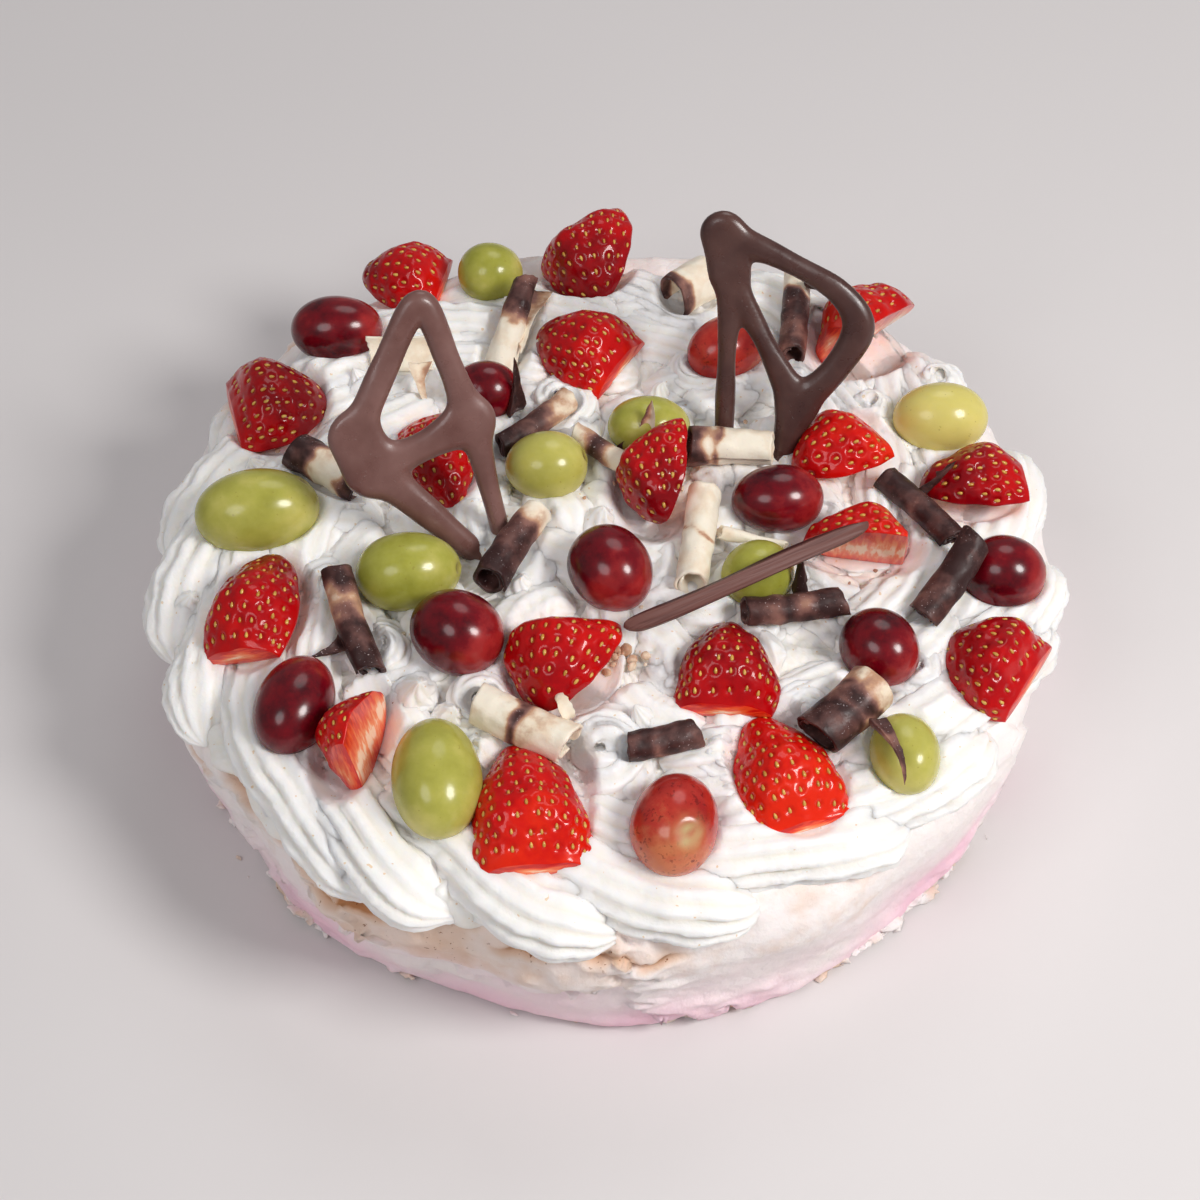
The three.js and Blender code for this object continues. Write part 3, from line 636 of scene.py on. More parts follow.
# ---------------------------------------------------------------- meringue
def make_meringue(material):
    """A turned body: a smoothed profile carried round Z, then pushed along its normals by long
    swells, soft folds, overlapping flaps with a ledge, cracks under the cream and fine grain."""
    profile = np.array([
        (0, 0), (60, 0), (108, 0), (112, 1.2), (113.2, 5), (113.8, 14), (115.6, 26), (117, 35), (116, 41),
        (112.5, 45.5), (107, 47), (100, 46), (70, 41), (30, 40), (0, 40),
    ], float)
    reach = np.concatenate([[0], np.cumsum(np.hypot(*np.diff(profile, axis=0).T))])
    stations = np.concatenate([
        np.linspace(0, reach[2], 5)[1:], np.linspace(reach[2], reach[11], 118)[1:],
        np.linspace(reach[11], reach[-1], 10)[1:-1],
    ])
    radius = np.interp(stations, reach, profile[:, 0])
    height = np.interp(stations, reach, profile[:, 1])
    blur = np.ones(7) / 7
    inner = slice(6, -12)
    radius[inner] = np.convolve(radius, blur, "same")[inner]
    height[inner] = np.convolve(height, blur, "same")[inner]
    angle = np.linspace(0, TURN, 640, endpoint=False)
    swell = np.sin(3 * angle + 0.6) + 0.7 * np.sin(5 * angle + 2) + 0.5 * np.sin(11 * angle)
    fold = 1.4 * np.maximum(0, np.sin(2 * (angle + 1.9))) * (angle > np.pi)
    grow = 1 + (radius[:, None] / RIM_RADIUS) * ((1.1 * swell + fold) / RIM_RADIUS)[None, :]
    x = radius[:, None] * grow * np.cos(angle)[None, :]
    y = radius[:, None] * grow * np.sin(angle)[None, :]
    z = np.repeat(height[:, None], len(angle), axis=1)
    grid = np.stack([x, y, z], -1)
    normal = surface_normals(grid)
    normal *= np.sign(np.einsum("ijk,ijk->ij", normal, np.stack([x, y, 0 * z], -1)).sum())
    turn = np.repeat(angle[None, :], len(radius), axis=0)
    shown = ease(z, 0.2, 3) * ease(np.hypot(x, y), 92, 104)
    flat = grid.reshape(-1, 3)
    squashed = flat * [1, 1, 2.2]
    push = 0.8 * wander(flat, 40, 1) + 0.3 * wander(flat, 15, 2) + 0.1 * wander(flat, 5, 3, 12)
    push = push.reshape(turn.shape)
    toast = np.zeros_like(turn)
    # Flaps of crust: middle angle, half width, low edge, high edge, thickness.
    flaps = [(303, 30, -3, 48, 2.2), (252, 20, 24, 46, 2.2), (226, 14, 20, 44, 1.8), (238, 10, 4, 20, 1.1),
             (205, 14, 10, 42, 1.4), (172, 15, 14, 44, 1.3), (10, 17, 12, 43, 1.4),
             (48, 15, 8, 44, 1.2), (84, 18, 14, 45, 1.5), (122, 16, 7, 42, 1.3), (150, 9, 5, 30, 1.2)]
    for index, (middle, half, low, high, thick) in enumerate(flaps):
        off = (np.degrees(turn) - middle + 180) % 360 - 180
        ragged = wander(squashed, 12, 40 + index).reshape(turn.shape)
        side = half - np.abs(off) + 2.2 * ragged
        bottom = z - low - 3.5 * ragged - 0.02 * off ** 2
        top = high + 2 - z
        inside = ease(side, -0.2, 0.7) * ease(bottom, -0.4, 0.5) * ease(top, -4, 4)
        lift = thick * (0.35 + 0.65 * np.exp(-(np.maximum(0, np.minimum(side * 2, bottom)) / 7) ** 2))
        push = push + inside * lift
    # Soft sagging folds that run round the lower wall.
    sag = np.sin(z * 0.42 + 5 * np.sin(turn + 0.6) + 1.2 * np.sin(5 * turn))
    sag = sag * ease(z, 2, 10) * ease(32 - z, 0, 8)
    push += sag * (0.12 + 0.7 * np.exp(-((np.degrees(turn) - 232) / 32) ** 2))
    # Cracks under the cream's edge: middle angle, half width, height, depth.
    cracks = [(228, 16, 41.5, 2.6), (240, 9, 37.5, 1.6), (268, 13, 41, 1.8), (186, 14, 40, 1.5),
              (206, 8, 36, 1.2), (20, 15, 40, 1.6), (64, 12, 41, 1.5), (100, 15, 40, 1.8), (140, 14, 41, 1.6)]
    for index, (middle, half, level, deep) in enumerate(cracks):
        off = (np.degrees(turn) - middle + 180) % 360 - 180
        line = level + 1.8 * np.sin(off * 0.35 + index) + 0.9 * np.sin(off * 1.1 + 2 * index)
        share = ease(half - np.abs(off), 0, 5)
        away = z - line
        push -= share * deep * np.exp(-(away / 0.8) ** 2)
        push += share * 0.5 * deep * np.exp(-((away + 2.2) / 1.3) ** 2)
        toast += share * (0.6 * np.exp(-(away / 1.1) ** 2) + 0.2 * np.exp(-((away - 3) / 4.5) ** 2))
    grid = grid + normal * (push * shown)[..., None]
    grid[..., 2] = np.maximum(grid[..., 2], 0)
    # Toasted patches along the shoulder at the front, and crumbly toast along the foot.
    degrees = np.degrees(turn)
    front = np.exp(-((degrees - 247) / 26) ** 2) + 0.5 * np.exp(-((degrees - 300) / 14) ** 2)
    back = 0.35 * np.exp(-((degrees - 95) / 60) ** 2) + 0.3 * np.exp(-((degrees - 185) / 18) ** 2)
    toast += 0.6 * front * ease(z, 22, 30) + 0.4 * back * ease(z, 26, 42)
    foot = np.exp(-((degrees - 308) / 26) ** 2) + 0.7 * np.exp(-((degrees - 229) / 6) ** 2) + 0.25
    toast += foot * (1 - ease(z, 0.5, 3)) * 0.4
    # Painted pink reflected light: strongest at the foot and fading out by 36 mm up the wall.
    pink_bounce = (1 - ease(z, 6, 36)) * (0.6 + 0.4 * wander(flat, 30, 9).reshape(turn.shape))
    skin = lofted(grid)
    pad = np.zeros(2)
    fields = {"toast": toast, "pink_bounce": np.clip(pink_bounce, 0, 1)}
    fields = {name: np.concatenate([values.ravel(), pad]) for name, values in fields.items()}
    add_piece("meringue_base", skin, material, ["meringue"], fields)


def make_flakes(material):
    """Broken crumbs of crust: flattened uneven balls along the foot, thickest where it crumbles,
    and a few that lie just off it."""
    middles = np.concatenate([rng.normal(228, 4.5, 26), rng.normal(281, 6, 26),
                              rng.normal(308, 15, 70), rng.uniform(0, 360, 44)])
    angle = np.radians(middles)
    count = len(angle)
    reach = 112.4 + rng.uniform(-0.8, 1.6, count)
    reach[-12:] += rng.uniform(2.5, 5, 12)
    size = rng.uniform(0.6, 1.9, count) * np.where(np.arange(count) < 122, 1.15, 0.8)
    size[-12:] *= 0.45
    height = size * 0.55 + rng.uniform(0, 2.6, count) * (np.arange(count) < count - 12)
    heading = middles + 90 + rng.uniform(-25, 25, count)
    pitch = rng.uniform(-18, 18, count)
    roll = rng.uniform(-30, 30, count)
    axes = np.stack([turning(*angles) for angles in zip(heading, pitch, roll)])
    scale = np.stack([size * rng.uniform(1.1, 2.0, count), size * rng.uniform(0.6, 1.0, count),
                      size * rng.uniform(0.25, 0.5, count)], -1)
    middle = np.stack([reach * np.cos(angle), reach * np.sin(angle), height], -1)
    points, quads, triangles = copies(ball(7, 12), (axes * scale[:, None, :], middle))
    points = points + 0.42 * np.stack([wander(points, 2.1, s, 12) for s in (21, 22, 23)], -1)
    points[:, 2] = np.maximum(points[:, 2], 0.02)
    fields = {"toast": np.clip(0.3 + 0.25 * wander(points, 9, 24), 0, 1), "pink_bounce": np.zeros(len(points))}
    add_piece("meringue_flakes", (points, quads, triangles), material, (), fields)


# ---------------------------------------------------------------- cream
def make_cream_bed(material):
    """The plain cream under the strokes: a dome on a polar grid whose edge rolls over and under,
    uneven and pressed down below the toppings. The edge's lobes are deepest on the left."""
    rolled = [0.968, 0.979, 0.988, 0.995, 1.0, 1.0, 0.994, 0.98, 0.95, 0.9]
    shares = np.concatenate([np.linspace(0, 0.955, 88)[1:], rolled])
    drops = np.concatenate([np.zeros(87), [0.1, 0.4, 0.9, 1.8, 3.2, 4.8, 6.2, 7.2, 7.8, 8.0]])
    angle = np.linspace(0, TURN, 560, endpoint=False)
    lobes = np.abs(np.sin(9.5 * angle + 1.5 * np.sin(2 * angle))) ** 0.7
    round_edge = 117 * np.stack([np.cos(angle), np.sin(angle), 0 * angle], -1)
    loose = 0.4 + 0.3 * (1 - np.cos(angle))
    edge = cream_edge(angle) - 5.0 + 3.6 * lobes * loose + 0.9 * wander(round_edge, 7, 66)
    x = shares[:, None] * (edge * np.cos(angle))[None, :]
    y = shares[:, None] * (edge * np.sin(angle))[None, :]
    z = cream_height(x, y) - BED_DEPTH - drops[:, None]
    flat = np.stack([x, y, z], -1).reshape(-1, 3)
    rough = 0.7 * wander(flat, 22, 61) + 0.55 * wander(flat, 9, 62) + 0.2 * wander(flat, 3.2, 63, 12)
    pleats = np.abs(np.sin(np.pi * (wander(flat, 30, 64) * 5)))
    flat[:, 2] += (rough + 1.1 * pleats - 0.5) * np.repeat(ease(1.005 - shares, 0, 0.03), len(angle))
    flat = pressed(flat)
    grid = flat.reshape(*x.shape, 3)
    under = grid[-1:].copy() * [0.5, 0.5, 0] + [0, 0, MERINGUE_HEIGHT - 6]
    skin = lofted(np.concatenate([grid, under]))
    # fold is painted shade, strongest in the pleats' troughs.
    fold = np.concatenate([1 - 0.6 * pleats, np.ones(len(angle) + 2)])
    fields = {"fold": np.clip(fold, 0, 1), "juice": juice_near(skin[0])}
    add_piece("cream_bed", skin, material, ["cream"], fields)


def stroke(path, radius, seed, ridges=12, depth=0.24, flatness=0.72, twist=0.5, around=52, lip=0.0):
    """A squeezed stroke from a star nozzle: a ribbed ring carried along the path. The ring's
    radius is 1 - depth + depth |cos(ridges turn / 2)|, flattened upright, twisted along the way.
    A lip spreads the stroke's tail into a wide thin sheet with a ragged edge."""
    tangent = np.gradient(path, axis=0)
    tangent /= np.linalg.norm(tangent, axis=1)[:, None]
    side = np.cross([0, 0, 1], tangent)
    side /= np.linalg.norm(side, axis=1)[:, None]
    up = np.cross(tangent, side)
    turn = np.linspace(0, TURN, around, endpoint=False)
    along = np.linspace(0, 1, len(path))
    phase = turn[None, :] + twist * along[:, None] * 2
    crest = np.abs(np.cos(ridges * phase / 2)) ** 0.75
    ring = radius[:, None] * (1 - depth + depth * crest)
    tail = lip * ease(along, 0.6, 0.9)[:, None]
    sheet = np.stack([0 * phase + seed, 9 * along[:, None] + 0 * phase, phase], -1)
    ragged = 0.1 * wander(sheet, 1.4, seed + 2)
    wide = ring * np.cos(turn) * (1 + tail * (0.18 + ragged))
    points = path[:, None, :] + side[:, None, :] * wide[..., None]
    points = points + up[:, None, :] * (ring * (flatness - 0.3 * tail) * np.sin(turn))[..., None]
    flat = points.reshape(-1, 3)
    outward = (points - path[:, None, :]).reshape(-1, 3) / np.maximum(ring.reshape(-1, 1), 0.1)
    torn = 0.4 * wander(flat, 8, seed) + 0.16 * wander(flat, 2.6, seed + 1, 12)
    flat = flat + outward * (torn * (0.35 + 0.65 * crest.ravel()) * ease(ring.ravel(), 0.5, 3))[:, None]
    skin = lofted(flat.reshape(points.shape))
    # fold is painted shade, strongest in the grooves between the ridges.
    fold = np.concatenate([1 - crest.ravel(), [0.5, 0.5]])
    return skin, fold


def stroke_radius(count, full, start=0.16, end=0.3):
    """Radius along a stroke: a quick round start and a longer, tapering tail."""
    share = np.linspace(0, 1, count)
    rise = np.sqrt(np.clip(1 - (1 - share / start).clip(0) ** 2, 0, 1))
    fall = np.clip(1 - ((share - (1 - end)) / end).clip(0) ** 2.2, 0, 1)
    return full * np.clip(rise * fall, 0.02, 1)


def border_strokes(count, inset, reach, full, sweep, lift, seed, drop):
    """Strokes that start inside the border, run round with it and end as a lobe at the edge.
    inset and reach are the distances inside the edge at a stroke's start and end, and drop is how
    far its lobe hangs. Lobes are loose on the left and close on the right: the looseness goes from
    0.25 at +X to 1 at -X by the cosine of the angle."""
    random = np.random.default_rng(seed)
    made = []
    for index in range(count):
        start = TURN * (index + random.uniform(-0.22, 0.22)) / count
        span = np.radians(sweep) * random.uniform(0.85, 1.2)
        share = np.linspace(0, 1, STROKE_STEPS)
        angle = start + span * share
        swing = random.uniform(1.5, 4)
        wave = swing * np.sin(TURN * share * random.uniform(0.7, 1.3) + random.uniform(0, TURN))
        inward = inset + (reach - inset) * ease(share, 0.0, 0.92) + wave * share * (1 - share) * 2.5
        radius_out = cream_edge(angle) - inward
        hook = ease(share, 0.78, 1)
        loose = 0.25 + 0.375 * (1 - np.cos(start + span))
        radius_out += 3.5 * hook * random.uniform(0.3, 1.2) * loose
        x, y = radius_out * np.cos(angle), radius_out * np.sin(angle)
        size = full * random.uniform(0.88, 1.12)
        ripple = 0.8 * np.sin(TURN * share + random.uniform(0, 6))
        z = cream_height(x, y) + lift - 0.42 * size - drop * hook + ripple
        path = np.stack([x, y, z], -1)
        radius = stroke_radius(STROKE_STEPS, size, end=0.22)
        made.append(stroke(path, radius, seed + 7 * index, twist=random.uniform(-0.5, 0.8), around=48,
                           lip=min(1, drop / 5) * loose))
    return made


def rosette_stroke(middle_x, middle_y, outer, turns, seed, lift=0.0):
    """A coil: the path winds inwards by an even spiral and rises to its middle, where it peels
    off into a small peak."""
    random = np.random.default_rng(seed)
    share = np.linspace(0, 1, 128)
    tube = outer * 0.44
    reach = (outer - tube) * (1 - share) ** 0.8
    angle = random.uniform(0, TURN) + TURN * turns * share * random.choice([-1, 1])
    x, y = middle_x + reach * np.cos(angle), middle_y + reach * np.sin(angle)
    peak = 2.2 if outer > 12.5 else 4.4
    z = cream_height(x, y) - 0.4 * tube + peak * share ** 1.5 + lift
    radius = stroke_radius(128, tube, 0.12, 0.06)
    return stroke(np.stack([x, y, z], -1), radius, seed, ridges=10, depth=0.22, flatness=0.85, twist=0.25)


def cream_peak(middle_x, middle_y, radius, height, seed):
    """A pulled-up tip: ribbed rings that shrink to a point, by (1 - share) to the 0.75, twisted and
    leaning over a little towards the top."""
    random = np.random.default_rng(seed)
    share = np.linspace(0, 1, 34)[:, None]
    turn = np.linspace(0, TURN, 42, endpoint=False)[None, :]
    crest = np.abs(np.cos(3.5 * (turn + 1.6 * share))) ** 0.8
    ring = radius * np.clip((1 - share) ** 0.75, 0.02, 1) * (0.74 + 0.26 * crest)
    lean = random.uniform(-0.45, 0.45, 2) * radius
    x = middle_x + ring * np.cos(turn) + lean[0] * share ** 2
    y = middle_y + ring * np.sin(turn) + lean[1] * share ** 2
    z = cream_height(x, y) - 2.5 + (height + 2.5) * share ** 1.15
    skin = lofted(np.stack([x, y, z], -1))
    skin[0][:] += 0.25 * np.stack([wander(skin[0], 5, seed + k) for k in range(3)], -1)
    # fold is painted shade in the grooves between the ribs.
    return skin, np.concatenate([1 - crest.ravel(), [0.5, 0.2]])


def filling_strokes(seed):
    """Short curved strokes between the toppings, one for each cell of a loose hexagonal grid."""
    random = np.random.default_rng(seed)
    made = []
    pitch = 17.0
    for row in range(-6, 7):
        for column in range(-6, 7):
            x0 = (column + 0.5 * (row % 2)) * pitch + random.uniform(-3, 3)
            y0 = row * pitch * 0.87 + random.uniform(-3, 3)
            if np.hypot(x0, y0) > 84:
                continue
            heading = np.arctan2(y0, x0) + np.pi / 2 + random.normal(0, 0.9)
            share = np.linspace(0, 1, FILLING_STEPS)
            bend = random.choice([-1, 1]) * random.uniform(0.8, 2.4)
            turn = heading + bend * (share - 0.5)
            length = random.uniform(22, 30)
            x = x0 + np.cumsum(np.cos(turn)) * length / FILLING_STEPS - np.cos(heading) * length / 2
            y = y0 + np.cumsum(np.sin(turn)) * length / FILLING_STEPS - np.sin(heading) * length / 2
            size = random.uniform(7.0, 9.2)
            z = cream_height(x, y) - 0.45 * size + random.uniform(-0.5, 0.8) + 1.2 * share
            path = np.stack([x, y, z], -1)
            made.append(stroke(path, stroke_radius(FILLING_STEPS, size), seed + row * 31 + column, around=32,
                               ridges=9, twist=random.uniform(-0.9, 0.9)))
    return made


def add_strokes(name, strokes, material):
    """Joins strokes into one piece, pressed down under the toppings."""
    points, quads, triangles = joined([skin for skin, _ in strokes])
    points = pressed(points)
    # fold carries the strokes' painted groove shade.
    fold = np.concatenate([fold for _, fold in strokes])
    fields = {"fold": np.clip(fold, 0, 1), "juice": juice_near(points)}
    add_piece(name, (points, quads, triangles), material, (), fields)


def make_cream(material):
    """The bed, two rings of border strokes, the filling, the rosettes and the peaks."""
    make_cream_bed(material)
    border = border_strokes(count=20, inset=25, reach=6, full=10.5, sweep=40, lift=1.6, seed=300, drop=4)
    inner = border_strokes(count=13, inset=44, reach=26, full=9, sweep=44, lift=1.4, seed=500, drop=1)
    add_strokes("cream_border", border, material)
    add_strokes("cream_inner_border", inner, material)
    filling = filling_strokes(700)
    half = len(filling) // 2
    add_strokes("cream_filling_front", filling[:half], material)
    add_strokes("cream_filling_back", filling[half:], material)
    coils = [rosette_stroke(*rosette, 900 + 10 * k, 0.6) for k, rosette in enumerate(ROSETTES)]
    tips = [cream_peak(x, y, outer * 0.34, 4.2, 1200 + k) for k, (x, y, outer, _) in enumerate(ROSETTES)]
    peaks = [cream_peak(*peak, 1300 + 3 * k) for k, peak in enumerate(PEAKS)]
    add_strokes("cream_rosettes", coils, material)
    add_strokes("cream_peaks", tips + peaks, material)


# ---------------------------------------------------------------- strawberries
def berry_reach(t, radius):
    """Radius at share t of the length: 0.9 widening to 1 over the shoulder, then a rounded cone."""
    cone = np.clip((t - CUT_SHOULDER) / (1 - CUT_SHOULDER), 0, 1)
    wide = 0.9 + 0.1 * np.sin(np.pi / 2 * np.clip(t / CUT_SHOULDER, 0, 1))
    return radius * wide * (1 - cone ** 1.9) ** 0.62


def berry_surface(t, angle, length, radius, seed):
    """Points on the uncut skin, with broad lumps. angle is 0 on top and 90 degrees at the cut.
    The stalk end keeps its width but slopes down, to under half its height."""
    reach = berry_reach(t, radius)
    low = 0.42 + 0.58 * np.sin(np.pi / 2 * np.clip(t / 0.42, 0, 1))
    plain = np.stack([(t - 0.45) * length, -reach * np.sin(angle), reach * np.cos(angle) * low], -1)
    lumps = 0.5 * wander(plain, 13, seed) + 0.22 * wander(plain, 6, seed + 1)
    outward = np.stack([0 * t, -np.sin(angle), np.cos(angle)], -1)
    return plain + outward * (lumps * np.minimum(1, reach / 4))[..., None]


def berry_seeds(length, radius, seed):
    """Seeds in staggered rows on the skin: positions and frames (along, across, out)."""
    random = np.random.default_rng(seed)
    pitch = 3.45
    rows = int(length / (pitch * 0.92))
    places = []
    for row in range(rows):
        t = 0.035 + 0.95 * (row + 0.5) / rows
        count = max(2, round(np.pi * float(berry_reach(np.array(t), radius)) / (pitch * 1.12)))
        turn = -np.pi / 2 + np.pi * (np.arange(count) + 0.25 + 0.5 * (row % 2)) / count
        places.append(np.stack([np.full(count, t), turn], -1))
    places = np.concatenate(places)
    places += random.normal(0, 1, places.shape) * [0.009, 0.03]
    places = places[(np.abs(places[:, 1]) < np.radians(86)) & (places[:, 0] < 0.985)]
    t, angle = places.T
    step = 1e-3
    middle = berry_surface(t, angle, length, radius, seed)
    along = berry_surface(t + step, angle, length, radius, seed) - middle
    across = berry_surface(t, angle + step, length, radius, seed) - middle
    along /= np.linalg.norm(along, axis=1)[:, None]
    out = np.cross(across, along)
    out /= np.linalg.norm(out, axis=1)[:, None]
    out *= np.sign((out * (middle * [0, 1, 1])).sum(1))[:, None]
    return middle, np.stack([along, np.cross(out, along), out], -1)


def berry_skin(length, radius, seed, seeds):
    """One closed skin: round the arc of skin and back across the cut, at stations from the stalk
    end's flat cap to the tip. Each seed sits in a pit with a raised rim. Returns the skin, fields
    and the marks of the cut faces."""
    arc = np.radians(np.linspace(-90, 90, 92))
    chord = np.concatenate([[0.012, 0.03, 0.07], np.linspace(0.12, 0.88, 19), [0.93, 0.97, 0.988]])
    rounded = 0.12 * np.cos(np.linspace(0, np.pi / 2, 16))[1:]
    t = 1 - np.concatenate([np.linspace(1, 0.12, 66), rounded])
    t = np.clip(t, 0, 0.9996)
    grid_t, grid_angle = np.meshgrid(t, arc, indexing="ij")
    skin = berry_surface(grid_t, grid_angle, length, radius, seed)
    flat = skin.reshape(-1, 3)
    away = np.linalg.norm(flat[:, None, :] - seeds[None, :, :], axis=2)
    edge_fade = ease(np.cos(grid_angle), 0.0, 0.12).ravel()
    pit = np.exp(-(away / 1.0) ** 2).sum(1)
    rim = np.exp(-((away - 1.55) / 0.55) ** 2).sum(1)
    push = (-0.55 * pit + 0.1 * rim) * edge_fade
    normal = surface_normals(skin)
    normal *= np.sign((normal * (skin * [0, 1, 1])).sum())
    skin = skin + normal * push.reshape(grid_t.shape)[..., None]
    left, right = skin[:, -1], skin[:, 0]
    cut = left[:, None, :] * (1 - chord)[None, :, None] + right[:, None, :] * chord[None, :, None]
    bulge = (1 - (2 * chord - 1) ** 2)[None, :] * np.minimum(1, berry_reach(t, radius) / 5)[:, None]
    cut[..., 2] -= 0.55 * bulge
    rings = np.concatenate([skin, cut], axis=1)
    first = rings[0]
    middle = first.mean(0)
    scales = [0.02, 0.2, 0.4, 0.6, 0.8, 0.93, 0.985]
    caps = np.stack([middle + (first - middle) * s - [0.7 * (1 - s * s), 0, 0] for s in scales])
    rings = np.concatenate([caps, rings])
    around = rings.shape[1]
    body = lofted(rings)
    inwards = np.repeat((1 - np.abs(2 * chord - 1))[None, :], len(t), 0)
    depth_cut = np.concatenate([np.zeros((len(t), len(arc))), inwards], 1)
    depth_cap = np.repeat((1 - np.array(scales))[:, None] ** 1.6, around, 1)
    # pit also sets the painted shade round each seed on the skin.
    pit_shade = np.concatenate([pit.reshape(grid_t.shape), np.zeros(cut.shape[:2])], 1)
    fields = {
        "cut_depth": np.concatenate([depth_cap, depth_cut]).ravel(),
        "pit": np.concatenate([np.zeros(depth_cap.shape), pit_shade]).ravel(),
        "share": np.concatenate([np.zeros(depth_cap.shape), np.repeat(t[:, None], around, 1)]).ravel(),
    }
    fields = {name: np.concatenate([np.clip(values, 0, 1.3), [0, 0]]) for name, values in fields.items()}
    row = np.arange(len(rings) - 1)[:, None]
    column = np.arange(around)[None, :]
    marks = (row < len(scales)) | (column >= len(arc) - 1)
    marks = np.broadcast_to(marks, (len(rings) - 1, around)).ravel()
    marks = np.concatenate([marks, np.ones(around), np.zeros(around)])
    return body, fields, marks


def make_strawberries(skin_material, flesh_material, seed_material):
    """Every half strawberry, and all their seeds as one piece."""
    seed_middles, seed_frames = [], []
    for number, (length, radius, heading, roll) in enumerate(STRAWBERRIES, 1):
        node = f"strawberry_{number:02d}"
        middles, frames = berry_seeds(length, radius, 100 * number)
        (points, quads, triangles), fields, marks = berry_skin(length, radius, 100 * number, middles)
        fields["cut_place"] = points
        turn = turning(heading, 0, roll)
        points = points @ turn.T
        shift = to_node(points, node) + NUDGES.get(number, (0, 0, 0))
        ripe = RIPENESS[number - 1] + 0.55 * (fields["share"] - 0.45)
        fields["ripe"] = np.clip(ripe, 0, 1)
        add_piece(f"{node}_cut", (points + shift, quads, triangles), skin_material,
                  [node], fields, flesh_material, marks)
        frames = turn @ frames
        seed_middles.append(middles @ turn.T + shift - frames[..., 2] * 0.36)
        seed_frames.append(frames)
    middles, frames = np.concatenate(seed_middles), np.concatenate(seed_frames)
    size = rng.uniform(0.88, 1.12, len(middles))[:, None, None] * np.array([0.8, 0.44, 0.4])
    points, quads, triangles = ball(4, 7)
    points = points * np.stack([np.ones(len(points)), 1 - 0.3 * points[:, 0], 1 - 0.2 * points[:, 0]], -1)
    seeds = copies((points, quads, triangles), (frames * size, middles))
    add_piece("strawberry_seeds", seeds, seed_material)


# ---------------------------------------------------------------- grapes
def grape_skin(half_length, half_width, seed, scar):
    """An egg-shaped ball with soft swells. A scar is a small dimple with a rim near one end."""
    points, quads, triangles = ball(46, 64)
    unit = points.copy()
    swell = 1 + 0.016 * wander(unit, 1.6, seed) - 0.035 * unit[:, 0] * (1 if seed % 2 else -1)
    points = points * np.stack([np.ones(len(points)), swell, swell], -1)
    mark = np.zeros(len(points))
    if scar:
        end, (tip, side) = scar[0], np.radians(scar[1:])
        centre = np.array([end * np.cos(tip) * np.cos(side), np.cos(tip) * np.sin(side), np.sin(tip)])
        size = 3.4 if scar[1] > 40 else 1.5
        away = np.linalg.norm((unit - centre) * [half_length, half_width, half_width], axis=1) / size
        dimple = 0.05 * np.exp(-away ** 2) - 0.022 * np.exp(-((away - 1.25) / 0.35) ** 2)
        points = points * (1 - dimple[:, None])
        mark = np.exp(-(away / 1.1) ** 2) * 0.85 * (1 + 0.3 * wander(unit, 0.3, seed + 50))
    end_side = scar[0] if scar else 1
    fields = {"end": 0.5 + 0.5 * unit[:, 0] * end_side, "scar": mark}
    return (points * [half_length, half_width, half_width], quads, triangles), fields


def make_grapes(dark, coral, green):
    """Red and green grapes, each turned and set on its node's middle."""
    for kind, grapes, scars in (("red", RED_GRAPES, RED_SCARS), ("green", GREEN_GRAPES, GREEN_SCARS)):
        for number, grape in enumerate(grapes, 1):
            node = f"{kind}_grape_{number:02d}"
            skin, fields = grape_skin(grape[0], grape[1], number, scars.get(number))
            if kind == "green":
                fields["pale"] = np.full(len(skin[0]), GREEN_PALE.get(number, 0.0))
            material = green if kind == "green" else coral if grape[3] == "coral" else dark
            add_piece(f"{node}_skin", placed(skin, turning(grape[2]), node), material,
                      [node], fields)


